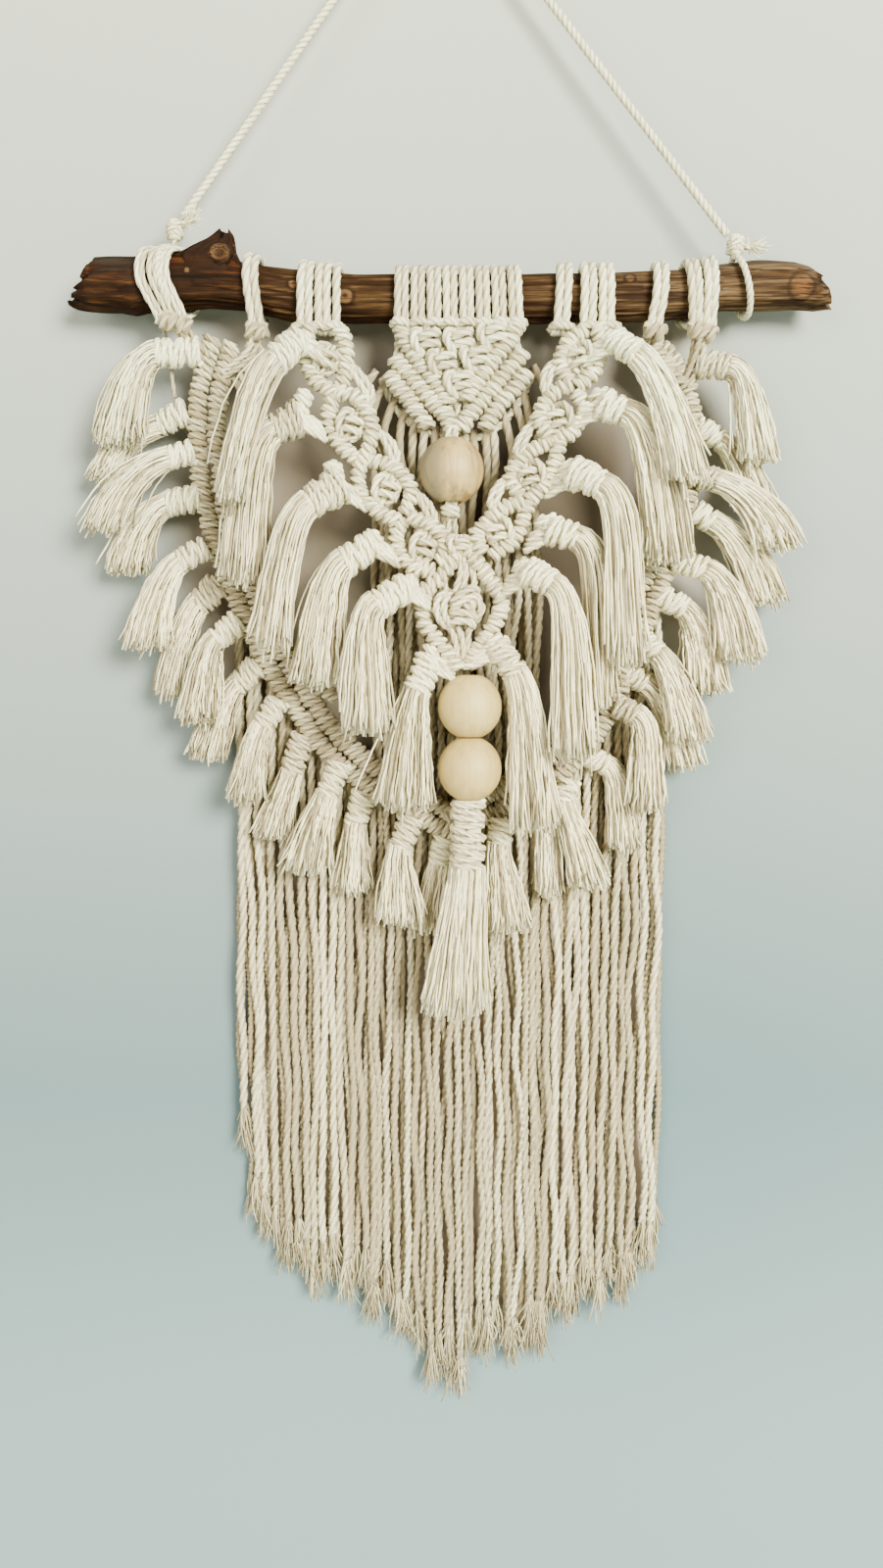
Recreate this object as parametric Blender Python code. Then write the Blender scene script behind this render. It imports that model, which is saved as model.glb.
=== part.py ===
"""A macrame wall hanging of cotton cord on a driftwood branch, hung from one nail.

Metres, +Z up. The origin is the top of the nail, where the hanger rope bears on it.
+X runs to the right along the branch and +Y into the wall, so the front faces -Y.

The tables give millimetres. Their heights, z, are taken from the point where the two
straight runs of the hanger rope would cross, and their depths, y, from the nail.
"""

import math
from collections import namedtuple

import bpy
import bmesh
import numpy as np
from mathutils.bvhtree import BVHTree

MM = 0.001
GAP = 0.3  # between neighbouring pieces
CORD = 4.0  # diameter of the cotton cord
FLAT = 0.01  # radians a face may bend before it is split

# Depths of the layers, from the wall forward.
CURTAIN_BACK_Y = 7.4
CURTAIN_FRONT_Y = 2.8
BRANCH_Y = -7.5
BACK_BAND_Y = -7.0
BACK_TASSEL_Y = {"near": -14.7, "far": -5.2}
CENTRE_PANEL_Y = -23.0
FRONT_BAND_Y = -29.0
FRONT_TASSEL_Y = {"near": -44.5, "far": -34.6}

HALF_DEPTH = 3.3  # of a tassel's flattened fringe
LOCKS = 4  # in each tassel's fringe
LOCK_GAP = 0.5  # between neighbouring locks below the neck
FRINGE_STEPS = 3
FRINGE_BEND = 0.22  # how far the fringe keeps to the head's slope

rng = np.random.default_rng(7)

# --- Meshes ---------------------------------------------------------------


def unit(vectors):
    return vectors / np.linalg.norm(vectors, axis=-1, keepdims=True)


def smooth_path(points, steps):
    """A Catmull-Rom curve through the points, read at steps + 1 even parameters."""
    points = np.asarray(points, float)
    padded = np.vstack([2 * points[0] - points[1], points, 2 * points[-1] - points[-2]])
    at = np.linspace(0, len(points) - 1, steps + 1)
    left = np.minimum(at.astype(int), len(points) - 2)
    t = (at - left)[:, None]
    p0, p1, p2, p3 = (padded[left + k] for k in range(4))
    cubic = (3 * (p1 - p2) + p3 - p0) * t**3
    square = (2 * p0 - 5 * p1 + 4 * p2 - p3) * t**2
    return 0.5 * (cubic + square + (p2 - p0) * t + 2 * p1)


def path_length(points):
    return float(np.linalg.norm(np.diff(points, axis=0), axis=1).sum())


def loft(rings, closed=False, caps=True):
    """Vertices and faces of a skin over rings of equal count. Its ends are capped, unless it
    closes on itself or the caller caps it."""
    rings = np.asarray(rings, float)
    count, around = rings.shape[:2]
    faces = []
    for i in range(count if closed else count - 1):
        here, there = i * around, (i + 1) % count * around
        for j in range(around):
            k = (j + 1) % around
            faces.append((here + j, here + k, there + k, there + j))
    if caps and not closed:
        faces.append(tuple(range(around))[::-1])
        faces.append(tuple(range((count - 1) * around, count * around)))
    return rings.reshape(-1, 3), faces


def sweep(path, across, deep, sides=4, turn=0.5):
    """A tube along a path. Its half-widths are `across` in the wall's plane and `deep` towards
    the wall. `turn` rotates the section, in steps of one side."""
    path = np.asarray(path, float)
    tangent = unit(np.gradient(path, axis=0))
    flat = unit(np.cross((0.0, 1.0, 0.0), tangent))
    upright = np.cross(tangent, flat)
    angle = (np.arange(sides) + turn) * 2 * math.pi / sides
    across = np.broadcast_to(across, len(path))[:, None, None]
    deep = np.broadcast_to(deep, len(path))[:, None, None]
    rings = (
        path[:, None]
        + across * np.cos(angle)[None, :, None] * flat[:, None]
        + deep * np.sin(angle)[None, :, None] * upright[:, None]
    )
    return loft(rings)


def ridged_bar(points, radius, pitch):
    """A bar of hitches: a square tube whose width rises and falls once in each pitch."""
    coarse = smooth_path(points, 40)
    ridges = max(2, round(path_length(coarse) / pitch))
    path = smooth_path(points, 2 * ridges)
    half = radius * np.where(np.arange(len(path)) % 2, 1.0, 0.8) / math.cos(math.pi / 4)
    return sweep(path, half * 0.95, half * 0.95)


def square_knot(x, y, z, half_width=6.5, half_height=7.5, half_depth=4.4):
    """A square knot seen as one block with a waist between its two bars."""
    heights = np.array([1, 0.5, 0, -0.5, -1]) * half_height
    swell = np.array([0.7, 1, 0.82, 1, 0.7])
    path = np.stack([np.full(5, x), np.full(5, y), z + heights], 1)
    return sweep(path, swell * half_width, swell * half_depth, 6)


def round_knot(x, y, z, half_width, half_height, half_depth=None):
    """A small tight knot: a short barrel on a vertical cord."""
    heights = np.array([1, 0, -1]) * half_height
    swell = np.array([0.65, 1, 0.65])
    path = np.stack([np.full(3, x), np.full(3, y), z + heights], 1)
    return sweep(path, swell * half_width, swell * (half_depth or half_width), 6)


def new_mesh(name, shapes):
    """One mesh from shapes in millimetres, moved so that the nail is at the origin."""
    mesh = bmesh.new()
    for vertices, faces in shapes:
        made = [mesh.verts.new((x * MM, y * MM, (z - NAIL_Z) * MM)) for x, y, z in vertices]
        for face in faces:
            mesh.faces.new([made[i] for i in face])
    bmesh.ops.connect_verts_nonplanar(mesh, angle_limit=FLAT, faces=mesh.faces)
    bmesh.ops.recalc_face_normals(mesh, faces=mesh.faces)
    data = bpy.data.meshes.new(name)
    mesh.to_mesh(data)
    mesh.free()
    return data


def new_object(name, shapes, material):
    item = bpy.data.objects.new(name, new_mesh(name, shapes))
    bpy.context.scene.collection.objects.link(item)
    item.data.materials.append(material)
    return item


def fuse(name, shapes, material):
    """One solid from shapes that run into each other: a Boolean union of the first with the rest."""
    item = new_object(name, shapes[:1], material)
    rest = new_object(name + "_rest", shapes[1:], material)
    rest.hide_render = True
    rest.display_type = "WIRE"
    union = item.modifiers.new("fuse", "BOOLEAN")
    union.operation = "UNION"
    union.object = rest
    union.use_self = True
    return item


def new_material(name, colour, roughness):
    material = bpy.data.materials.new(name)
    material.use_nodes = True
    shader = material.node_tree.nodes["Principled BSDF"]
    shader.inputs["Base Color"].default_value = (*colour, 1)
    shader.inputs["Roughness"].default_value = roughness
    shader.inputs["Metallic"].default_value = 0
    material.diffuse_color = (*colour, 1)
    return material


for leftover in list(bpy.data.objects):
    bpy.data.objects.remove(leftover)

COTTON = new_material("cotton_cord", (0.80, 0.75, 0.66), 0.95)
DRIFTWOOD = new_material("driftwood", (0.30, 0.18, 0.10), 0.75)
BEAD_WOOD = new_material("bead_wood", (0.78, 0.66, 0.48), 0.55)

# --- Hanger rope ----------------------------------------------------------
# It runs from a knot at each end of the branch over the nail, and is held taut.

ROPE_CROSSING = (0.0, -1.0)
KNOT_LEFT = (-128.5, -9.0, -184.5)
KNOT_RIGHT = (148.0, -9.5, -192.0)
BEND_RADIUS = 2 * CORD
KNOT_HALF = (4.6, 5.2)  # half-width and half-height of each knot
ROPE_STEP = 24.0


def rope_route():
    """The rope's centreline: two straight runs and the arc over the nail between them."""
    corner = np.array([ROPE_CROSSING[0], 0.0, ROPE_CROSSING[1]])
    ends = [np.array(KNOT_LEFT), np.array(KNOT_RIGHT)]
    to_left, to_right = (unit(end - corner) for end in ends)
    half = math.acos(float(to_left @ to_right)) / 2
    tangent = BEND_RADIUS / math.tan(half)
    middle = corner + unit(to_left + to_right) * BEND_RADIUS / math.sin(half)
    start, end = corner + to_left * tangent, corner + to_right * tangent
    arc = []
    for share in np.linspace(0, 1, 9):
        spoke = unit((start - middle) * (1 - share) + (end - middle) * share)
        arc.append(middle + spoke * BEND_RADIUS)
    clear = KNOT_HALF[1] + GAP + 1.0
    first, last = ends[0] - to_left * clear, ends[1] - to_right * clear
    left_run = np.linspace(first, start, round(path_length([first, start]) / ROPE_STEP) + 1)
    right_run = np.linspace(end, last, round(path_length([end, last]) / ROPE_STEP) + 1)
    return np.vstack([left_run[:-1], arc, right_run[1:]])


ROPE = rope_route()
NAIL_Z = float(ROPE[:, 2].max()) - CORD / 2


def build_rope():
    curve = bpy.data.curves.new("hanger_rope", "CURVE")
    curve.dimensions = "3D"
    curve.bevel_depth = CORD / 2 * MM
    curve.bevel_resolution = 2
    curve.use_fill_caps = True
    spline = curve.splines.new("POLY")
    spline.points.add(len(ROPE) - 1)
    for point, (x, y, z) in zip(spline.points, ROPE):
        point.co = (x * MM, y * MM, (z - NAIL_Z) * MM, 1)
    rope = bpy.data.objects.new("hanger_rope", curve)
    bpy.context.scene.collection.objects.link(rope)
    curve.materials.append(COTTON)


build_rope()

# --- Driftwood branch -----------------------------------------------------

Section = namedtuple("Section", "x z radius")
BRANCH = (
    Section(-181, -213, 9.5),
    Section(-174, -210.5, 12.0),
    Section(-157, -210.5, 13.0),
    Section(-135, -209, 13.4),
    Section(-111, -209.5, 12.6),
    Section(-94, -211.5, 12.0),
    Section(-70, -216, 12.6),
    Section(-40, -217.5, 12.2),
    Section(0, -217.5, 11.8),
    Section(44, -217.5, 11.8),
    Section(76, -216.5, 11.9),
    Section(107, -216.3, 12.0),
    Section(127, -215, 12.0),
    Section(142, -212, 11.4),
    Section(160, -211, 11.6),
    Section(178, -210.5, 10.9),
    Section(189, -212, 10.4),
    Section(195, -212.5, 8.6),
)
BRANCH_SIDES = 12
STUB = ((-106, -208), (-107, -199), (-106.5, -192.5), (-105, -187))  # x, z up the broken shoot
STUB_RADII = (14.0, 12.5, 8.5, 3.5)
STUB_FLATNESS = 0.75
RAGGED = 3.0  # how unevenly the branch's two ends are torn


def branch_at(x):
    """The branch's centre height and radius at x."""
    xs = [s.x for s in BRANCH]
    return np.interp(x, xs, [s.z for s in BRANCH]), np.interp(x, xs, [s.radius for s in BRANCH])


def build_branch():
    angle = np.arange(BRANCH_SIDES) * 2 * math.pi / BRANCH_SIDES
    rings = []
    for section in BRANCH:
        lumps = section.radius * (1 - 0.03 * rng.random(BRANCH_SIDES))
        ends = section.x in (BRANCH[0].x, BRANCH[-1].x)
        ragged = RAGGED * rng.random(BRANCH_SIDES) if ends else np.zeros(BRANCH_SIDES)
        x = section.x + ragged * (-1 if section.x > 0 else 1)
        rings.append(
            np.stack([x, BRANCH_Y + lumps * np.cos(angle), section.z + lumps * np.sin(angle)], 1)
        )
    stub_path = [(x, BRANCH_Y - 2, z) for x, z in STUB]
    stub = sweep(stub_path, STUB_RADII, np.multiply(STUB_RADII, STUB_FLATNESS), 8)
    fuse("branch", [loft(rings), stub], DRIFTWOOD)


build_branch()

# --- Loops over the branch ------------------------------------------------
# Each group of cords goes up behind the branch and comes down over its front, side by side.

LOOP_FACETS = 5
LOOP_START = math.radians(120)  # behind the top of the branch, from straight ahead
LOOP_STEP = math.radians(36)
SADDLE = 1.15  # how far a loop's straight facets would cut into the round branch


def loop_ribbon(left_top, right_top, left_foot, right_foot, ridges, foot_z, foot_y):
    """Cords side by side over the branch's top and front, as one corrugated ribbon.
    The x values give its edges over the branch and at its foot, below the branch."""
    share = np.arange(2 * ridges + 1) / (2 * ridges)
    height = np.where(np.arange(2 * ridges + 1) % 2, CORD, 0.6 * CORD)
    angles = LOOP_START - LOOP_STEP * np.arange(LOOP_FACETS)
    rings = []
    for step, angle in enumerate(angles):
        down = step / LOOP_FACETS
        left = left_top + (left_foot - left_top) * down
        right = right_top + (right_foot - right_top) * down
        x = left + (right - left) * share
        centre_z, radius = branch_at(x)
        inner = radius.max() + GAP + SADDLE
        centre = np.stack([x, np.full(len(x), BRANCH_Y), np.full(len(x), centre_z.mean())], 1)
        outward = np.array([0, -math.cos(angle), math.sin(angle)])
        outer = centre + np.outer(inner + height, outward)
        floor = (centre + inner * outward)[::-2]
        rings.append(np.vstack([outer, floor]))
    x = left_foot + (right_foot - left_foot) * share
    front = np.stack([x, foot_y - height, np.full(len(x), foot_z)], 1)
    behind = np.stack([x, np.full(len(x), foot_y), np.full(len(x), foot_z)], 1)[::-2]
    rings.append(np.vstack([front, behind]))
    vertices, faces = loft(rings, caps=False)
    around = 3 * ridges + 2
    for end in (0, len(vertices) - around):
        for i in range(ridges):
            under = end + around - 1 - i
            faces.append((end + 2 * i, end + 2 * i + 1, end + 2 * i + 2, under - 1, under))
    return vertices, faces


# --- Centre panel ---------------------------------------------------------
# Sixteen cords in a heading, six square knots, and three bars of double half hitches on each side.

PANEL_BARS = (  # x, z where each bar starts, bends and ends
    ((-18, -236), (-11, -250), (5, -273)),
    ((-20, -249), (-8, -266), (9.5, -284.4)),
    ((-23.5, -258.5), (-13.5, -273), (-4, -285)),
    ((41, -234), (33, -248), (15, -273)),
    ((43, -247), (29, -263), (11, -285)),
    ((45, -256), (36, -269), (23, -286)),
)
PANEL_BAR_RADIUS = 5.2
PANEL_PITCH = 13.0
PANEL_STAGGER = 0.5  # in depth, between bars that meet
SQUARE_KNOTS = ((-5, -243), (11, -243), (27, -240), (3, -254), (19, -253), (11, -262))
HEADING_RADIUS = 4.0
HEADING_PITCH = 12.0
HEADING_SAG = 0.5
BEAD_1 = (8.0, -28.0, -305.0)
BEAD_2 = (17.0, -29.0, -418.9)
BEAD_RADIUS = 15.6
BEAD_HALF_HEIGHT = 15.2
BORE_RADIUS = 4.4
BEAD_SIDES = 12
BEAD_STEPS = 6
CORE_RADIUS = 3.8  # of the cords inside a bead
BEAD_3 = (17.0, -29.0, BEAD_2[2] - 2 * BEAD_HALF_HEIGHT - GAP)


def at_depth(points, y):
    return [(x, y, z) for x, z in points]


def heading(left, right, y, z):
    """The bar of tight half hitches under a group of loops."""
    line = [(left, y, z), ((left + right) / 2, y, z - HEADING_SAG), (right, y, z)]
    return ridged_bar(line, HEADING_RADIUS, HEADING_PITCH)


def build_centre_panel():
    y = CENTRE_PANEL_Y
    shapes = [heading(-20, 44, -20, -235)]
    shapes.append(loop_ribbon(-17, 41, -18.5, 43, 8, -235, -17.5))
    for number, bar in enumerate(PANEL_BARS):
        over = PANEL_STAGGER * (number % 3 - number / 5)
        shapes.append(ridged_bar(at_depth(bar, y + over), PANEL_BAR_RADIUS, PANEL_PITCH))
    shapes += [square_knot(x, y, z) for x, z in SQUARE_KNOTS]
    x, bead_y, z = BEAD_1
    core = [(8.6, y + 0.6, -281), (x, bead_y, z + 17.3), (x, bead_y, z), (x, bead_y, z - 19)]
    shapes.append(sweep(core, CORE_RADIUS, CORE_RADIUS, 8))
    shapes.append(round_knot(x, bead_y + 1, z - 19.3, 4.7, 3.4))
    tail = [(x, bead_y + 2, z - 21), (x + 1, -22, z - 26), (x + 1.5, -21.8, z - 31)]
    shapes.append(sweep(tail, 3.2, 1.9, 6))
    fuse("centre_panel", shapes, COTTON)


build_centre_panel()


def build_bead(name, centre):
    """A turned bead with a drilled bore: a round profile between the bore's two mouths."""
    edge = math.acos(BEAD_HALF_HEIGHT / BEAD_RADIUS)
    edge = max(edge, math.asin(BORE_RADIUS / BEAD_RADIUS))
    polar = np.linspace(edge, math.pi - edge, BEAD_STEPS + 1)
    radii = np.append(BEAD_RADIUS * np.sin(polar), [BORE_RADIUS, BORE_RADIUS])
    lift = BEAD_HALF_HEIGHT / (BEAD_RADIUS * math.cos(edge))
    heights = BEAD_RADIUS * np.cos(polar) * lift
    heights = np.append(heights, [-BEAD_HALF_HEIGHT + 0.4, BEAD_HALF_HEIGHT - 0.4])
    turn = np.arange(BEAD_SIDES) * 2 * math.pi / BEAD_SIDES
    x, y, z = centre
    rings = [
        np.stack([x + radii * math.cos(t), y + radii * math.sin(t), z + heights], 1) for t in turn
    ]
    new_object(name, [loft(rings, closed=True)], BEAD_WOOD)


build_bead("bead_upper", BEAD_1)
build_bead("bead_middle", BEAD_2)
build_bead("bead_lower", BEAD_3)

# --- Front band -----------------------------------------------------------
# A V of four cells a side, each a pair of hitched borders round a small knot, and a diamond below.

FRONT_BAR_RADIUS = 4.0
FRONT_PITCH = 14.0
BAR_STAGGER = 0.4  # in depth, between bars that cross
Cell = namedtuple("Cell", "outer inner knot")
FRONT_CELLS = (  # left side from the top, then right side from the top
    Cell(((-60, -237), (-62, -256), (-49, -269)), ((-53, -237), (-45, -252), (-45, -267)), (-55, -252)),
    Cell(((-50, -267), (-50, -290), (-35, -303)), ((-47, -267), (-33, -278), (-32, -300)), (-42, -284)),
    Cell(((-36, -300), (-34, -320), (-17, -329)), ((-32, -300), (-15, -311), (-13, -327)), (-25, -314)),
    Cell(((-19, -330), (-16, -347), (2, -353)), ((-16, -328), (1, -335), (4, -350)), (-7, -342)),
    Cell(((79, -237), (76, -256), (56, -273)), ((71, -237), (61, -254), (57, -272)), (68, -249)),
    Cell(((66, -268), (66, -286), (45, -299)), ((58, -271), (50, -283), (44, -299)), (60, -280)),
    Cell(((53, -297), (52, -319), (27, -331)), ((42, -298), (35, -312), (31, -327)), (45, -308)),
    Cell(((39, -326), (37, -342), (20, -350)), ((26, -328), (22, -340), (15, -348)), (31, -334)),
)
SIDE_CORDS = (  # the cord that jumps from cell to cell on the inner side
    ((-43, -249), (-33, -264), (-32, -278)),
    ((-28, -285), (-20, -297), (-19, -309)),
    ((-11, -313), (-2, -326), (0, -334)),
    ((59, -253), (53, -263), (52, -275)),
    ((50, -280), (41, -292), (39, -300)),
    ((36, -308), (27, -319), (26, -329)),
)
DIAMOND = (
    ((9, -343), (1, -357), (-7, -373)),
    ((-7, -371), (-2, -385), (12, -400)),
    ((12, -343), (24, -357), (31, -373)),
    ((31, -371), (26, -385), (16, -400)),
)


def build_front_band():
    y = FRONT_BAND_Y
    shapes = [heading(-69, -43, -23.5, -236), heading(62, 90, -23.5, -236)]
    shapes.append(loop_ribbon(-65, -45, -68, -44, 3, -236, -18.5))
    shapes.append(loop_ribbon(64, 89, 63, 89, 3, -236, -18.5))
    for number, cell in enumerate(FRONT_CELLS):
        over = BAR_STAGGER * (number % 2)
        shapes.append(ridged_bar(at_depth(cell.outer, y + over), FRONT_BAR_RADIUS, FRONT_PITCH))
        shapes.append(ridged_bar(at_depth(cell.inner, y - over - 0.25), FRONT_BAR_RADIUS * 0.97, FRONT_PITCH))
        knot_x, knot_z = cell.knot
        shapes.append(round_knot(knot_x, y - 0.6, knot_z, 7.4, 6.0, 3.8))
    for route in SIDE_CORDS:
        path = smooth_path(at_depth(route, y - 1.2), 3)
        shapes.append(sweep(path, CORD / 2, CORD / 2, 4))
    for number, bar in enumerate(DIAMOND):
        over = BAR_STAGGER * (number - 1.6)
        shapes.append(ridged_bar(at_depth(bar, y + over), FRONT_BAR_RADIUS * 1.03, FRONT_PITCH))
    shapes.append(round_knot(10.5, y, -341, 5.5, 5.5, 3.8))
    fillers = [(11, y, -345), (12, y, -371), (14, y, -398)]
    shapes.append(sweep(fillers, 5.0, 3.0, 6))
    shapes.append(square_knot(13, y - 0.5, -371, 11.5, 8.5, 5.0))
    x, bead_y, z = BEAD_2
    core = [(14, y, -396), (x, bead_y, z + 18), (x, bead_y, z), (x, bead_y, MAIN_HEAD_TOP + GAP)]
    shapes.append(sweep(core, CORE_RADIUS, CORE_RADIUS, 8))
    fuse("front_band", shapes, COTTON)


MAIN_HEAD_TOP = BEAD_3[2] - BEAD_HALF_HEIGHT - GAP
build_front_band()

# --- Back band ------------------------------------------------------------
# A wider, deeper V of two hitched ridges a side, hung from the outermost loops.

RIDGE_HALF = 4.1  # half of one ridge's width and depth
BACK_PITCH = 20.0
BAND_OFFSET = 3.7  # from the outer ridge to the middle of the two-ridge band
LEFT_RIDGE = (  # x, z down the outer ridge of the left arm
    (-110, -236),
    (-118, -262),
    (-119, -288),
    (-113, -330),
    (-96, -375),
    (-74, -416),
    (-48, -449),
    (-4, -478),
    (10, -484),
)
RIGHT_RIDGE = (
    (107, -237),
    (122, -252),
    (129, -278),
    (127, -310),
    (119, -345),
    (102, -386),
    (86, -426),
    (63, -454),
    (30, -473),
    (8, -484),
)


def beside(points, distance):
    """The path at a distance to the side of another, in the wall's plane."""
    points = np.asarray(points, float)
    tangent = unit(np.gradient(points, axis=0))
    return points + distance * np.stack([-tangent[:, 1], tangent[:, 0]], 1)


def double_ridge(points, pitch):
    """Two hitched ridges side by side: a band with a groove down its front and its back."""
    coarse = smooth_path(points, 40)
    ridges = round(path_length(coarse) / pitch)
    path = smooth_path(points, 2 * ridges)
    tangent = unit(np.gradient(path, axis=0))
    across = np.cross((0, 1, 0), tangent)
    swell = np.where(np.arange(len(path)) % 2, 1.0, 0.8)
    rings = []
    for side, forward in ((-1, -1), (0, -0.55), (1, -1), (1, 1), (0, 0.55), (-1, 1)):
        reach = side * (BAND_OFFSET + RIDGE_HALF * swell[:, None] * 0.9)
        rings.append(path + across * reach + np.array([0, forward, 0]) * RIDGE_HALF * swell[:, None])
    return loft(np.stack(rings, 1))


Bundle = namedtuple("Bundle", "path radius")
BUNDLES = (  # cords gathered below each outer group of loops, down to the band
    Bundle(((-127, -16, -231), (-121, -13, -238), (-113, -8, -246)), 3.4),
    Bundle(((-88, -16, -233), (-92, -12, -245), (-107, -8, -256)), 3.2),
    Bundle(((108, -16, -233), (107, -12, -237), (108, -8, -242)), 3.2),
    Bundle(((131, -16, -233), (129, -12, -248), (125, -8, -260)), 3.6),
)
OUTER_KNOTS = ((-126.6, -232.4, 6.0), (-88, -236, 4.4), (107.5, -236, 4.2), (131, -236, 6.0))


def build_back_band():
    middles = [beside(LEFT_RIDGE, BAND_OFFSET), beside(RIGHT_RIDGE, -BAND_OFFSET)]
    shapes = [double_ridge(at_depth(middle, BACK_BAND_Y), BACK_PITCH) for middle in middles]
    shapes.append(loop_ribbon(-147, -131.5, -135, -123.5, 5, -232.2, -14))
    shapes.append(loop_ribbon(-92, -82, -92, -84, 2, -234, -14))
    shapes.append(loop_ribbon(107, 115, 104, 111, 2, -234, -14))
    shapes.append(loop_ribbon(121, 138, 125, 137, 4, -234, -14))
    for bundle in BUNDLES:
        shapes.append(sweep(smooth_path(bundle.path, 3), bundle.radius, bundle.radius, 6, turn=0.3))
    for x, z, half in OUTER_KNOTS:
        shapes.append(round_knot(x, -16, z, half, 4.6, 4.6))
    fuse("back_band", shapes, COTTON)


build_back_band()


def build_hanger_knot(name, knot, top_x, foot_x, tail):
    """The rope's end: a knot, its frayed tail and the slanting loop that grips the branch."""
    x, y, z = knot
    turn = np.linspace(0, 2 * math.pi, 17)[:-1] + math.pi / 2
    across = top_x + (foot_x - top_x) * (1 - np.sin(turn)) / 2
    centre_z, radius = branch_at(across)
    hold = radius + GAP + 0.4 + CORD / 2
    line = np.stack([across, BRANCH_Y + hold * np.cos(turn), centre_z + hold * np.sin(turn)], 1)
    line = np.vstack([line, line[:1]])
    tangent = unit(np.roll(line[:-1], -1, 0) - np.roll(line[:-1], 1, 0))
    out = unit(line[:-1] - np.stack([across, np.full(16, BRANCH_Y), centre_z], 1))
    side = np.cross(tangent, out)
    corners = [(1, 1), (-1, 1), (-1, -1), (1, -1)]
    half = CORD / 2 * 0.85
    rings = np.stack([line[:-1] + half * (a * out * 0.8 + b * side) for a, b in corners], 1)
    leg_top = (x, y, z - KNOT_HALF[1] * 0.5)
    leg_foot = (float(across[0]), BRANCH_Y, float(line[0, 2]) + 0.3)
    shapes = [loft(rings, closed=True)]
    shapes.append(sweep([leg_top, leg_foot], (3.2, 2.0), (3.2, 2.0), 6))
    shapes.append(round_knot(x, y, z, *KNOT_HALF))
    shapes.append(sweep([(x, y - 1, z + 1), tail], (2.2, 3.4), (2.2, 1.8), 6))
    fuse(name, shapes, COTTON)


build_hanger_knot("hanger_knot_left", KNOT_LEFT, -126.5, -118.5, (-136, -11, -180))
build_hanger_knot("hanger_knot_right", KNOT_RIGHT, 147.5, 155, (160, -11, -194))

# --- Curtain --------------------------------------------------------------
# Plain cords that hang behind everything, rooted in a narrow strip behind the band they leave.

HEM = (  # x, z along the cut ends
    (-102, -659),
    (-97, -688),
    (-88, -706),
    (-71, -720),
    (-34, -742),
    (-17, -754),
    (1, -778),
    (11, -782),
    (21, -764),
    (41, -771),
    (51, -760),
    (72, -742),
    (94, -734),
    (112, -717),
    (118, -696),
)
HEM_UNEVEN = 5.0  # how much shorter a cord may be cut
STRAND_HALF = 2.2
STRAND_STEPS = 3
WAVE = 0.8  # how far a cord strays sideways
SETTLE_SHARE = 0.135  # sets how soon a centre cord comes back to the wall

MIDDLE_X = 10.0  # the centre cords fan out from here
LEFT_STRIP = ((-103, -343), (-92, -376), (-71, -411), (-47, -443), (-36, -452))
RIGHT_STRIP = ((115, -343), (100, -378), (84, -417), (62, -444), (52, -451))
PANEL_STRIP = ((-27, -258), (-17, -275), (0, -285), (22, -286), (38, -274), (48, -256))
Curtain = namedtuple("Curtain", "name strip y half_depth left right strands fan")
CURTAINS = (
    Curtain("curtain_left", LEFT_STRIP, 3.05, 6.45, -102, -38, 17, 1.0),
    Curtain("curtain_right", RIGHT_STRIP, 3.3, 6.2, 55, 116, 16, 1.0),
    Curtain("centre_cords", PANEL_STRIP, -13.2, 3.7, -25, 46, 22, 1.15),
)


def build_curtain(row):
    strip = smooth_path(at_depth(row.strip, row.y), 10)
    shapes = [sweep(strip, 2.0, row.half_depth * math.sqrt(2), 4)]
    order = np.argsort(strip[:, 0])
    tops = np.linspace(row.left, row.right, row.strands)
    for number, x in enumerate(tops):
        z_top = float(np.interp(x, strip[order, 0], strip[order, 2]))
        layer_y = CURTAIN_BACK_Y if number % 2 else CURTAIN_FRONT_Y
        y_top = row.y + (layer_y - (CURTAIN_BACK_Y + CURTAIN_FRONT_Y) / 2)
        x_foot = MIDDLE_X + (x - MIDDLE_X) * row.fan
        z_foot = float(np.interp(x_foot, *np.transpose(HEM))) + HEM_UNEVEN * rng.random()
        share = np.linspace(0, 1, STRAND_STEPS + 1)
        depth = np.full(STRAND_STEPS + 1, layer_y)
        if row.fan > 1:
            share[1:-1] -= 2 * SETTLE_SHARE * (1 - share[1:-1])
            depth[0] = y_top
        path = np.stack([x + (x_foot - x) * share, depth, z_top + (z_foot - z_top) * share], 1)
        path[1:, 0] += WAVE * (rng.random(STRAND_STEPS) - 0.5)
        taper = np.where(share < 1, 1.0, 0.6) * STRAND_HALF
        shapes.append(sweep(path, taper, taper, 3, turn=0.75))
    fuse(row.name, shapes, COTTON)


for curtain in CURTAINS:
    build_curtain(curtain)

# --- Tassels --------------------------------------------------------------
# Each is a bundle of cord ends wrapped at the head. Past the neck the cords are combed out and hang.
# root and neck are the two ends of the wrapping, as x, z; wide gives its diameter at each.
# tip is the middle of the fringe's foot, spread is half of the foot's width.

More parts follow.
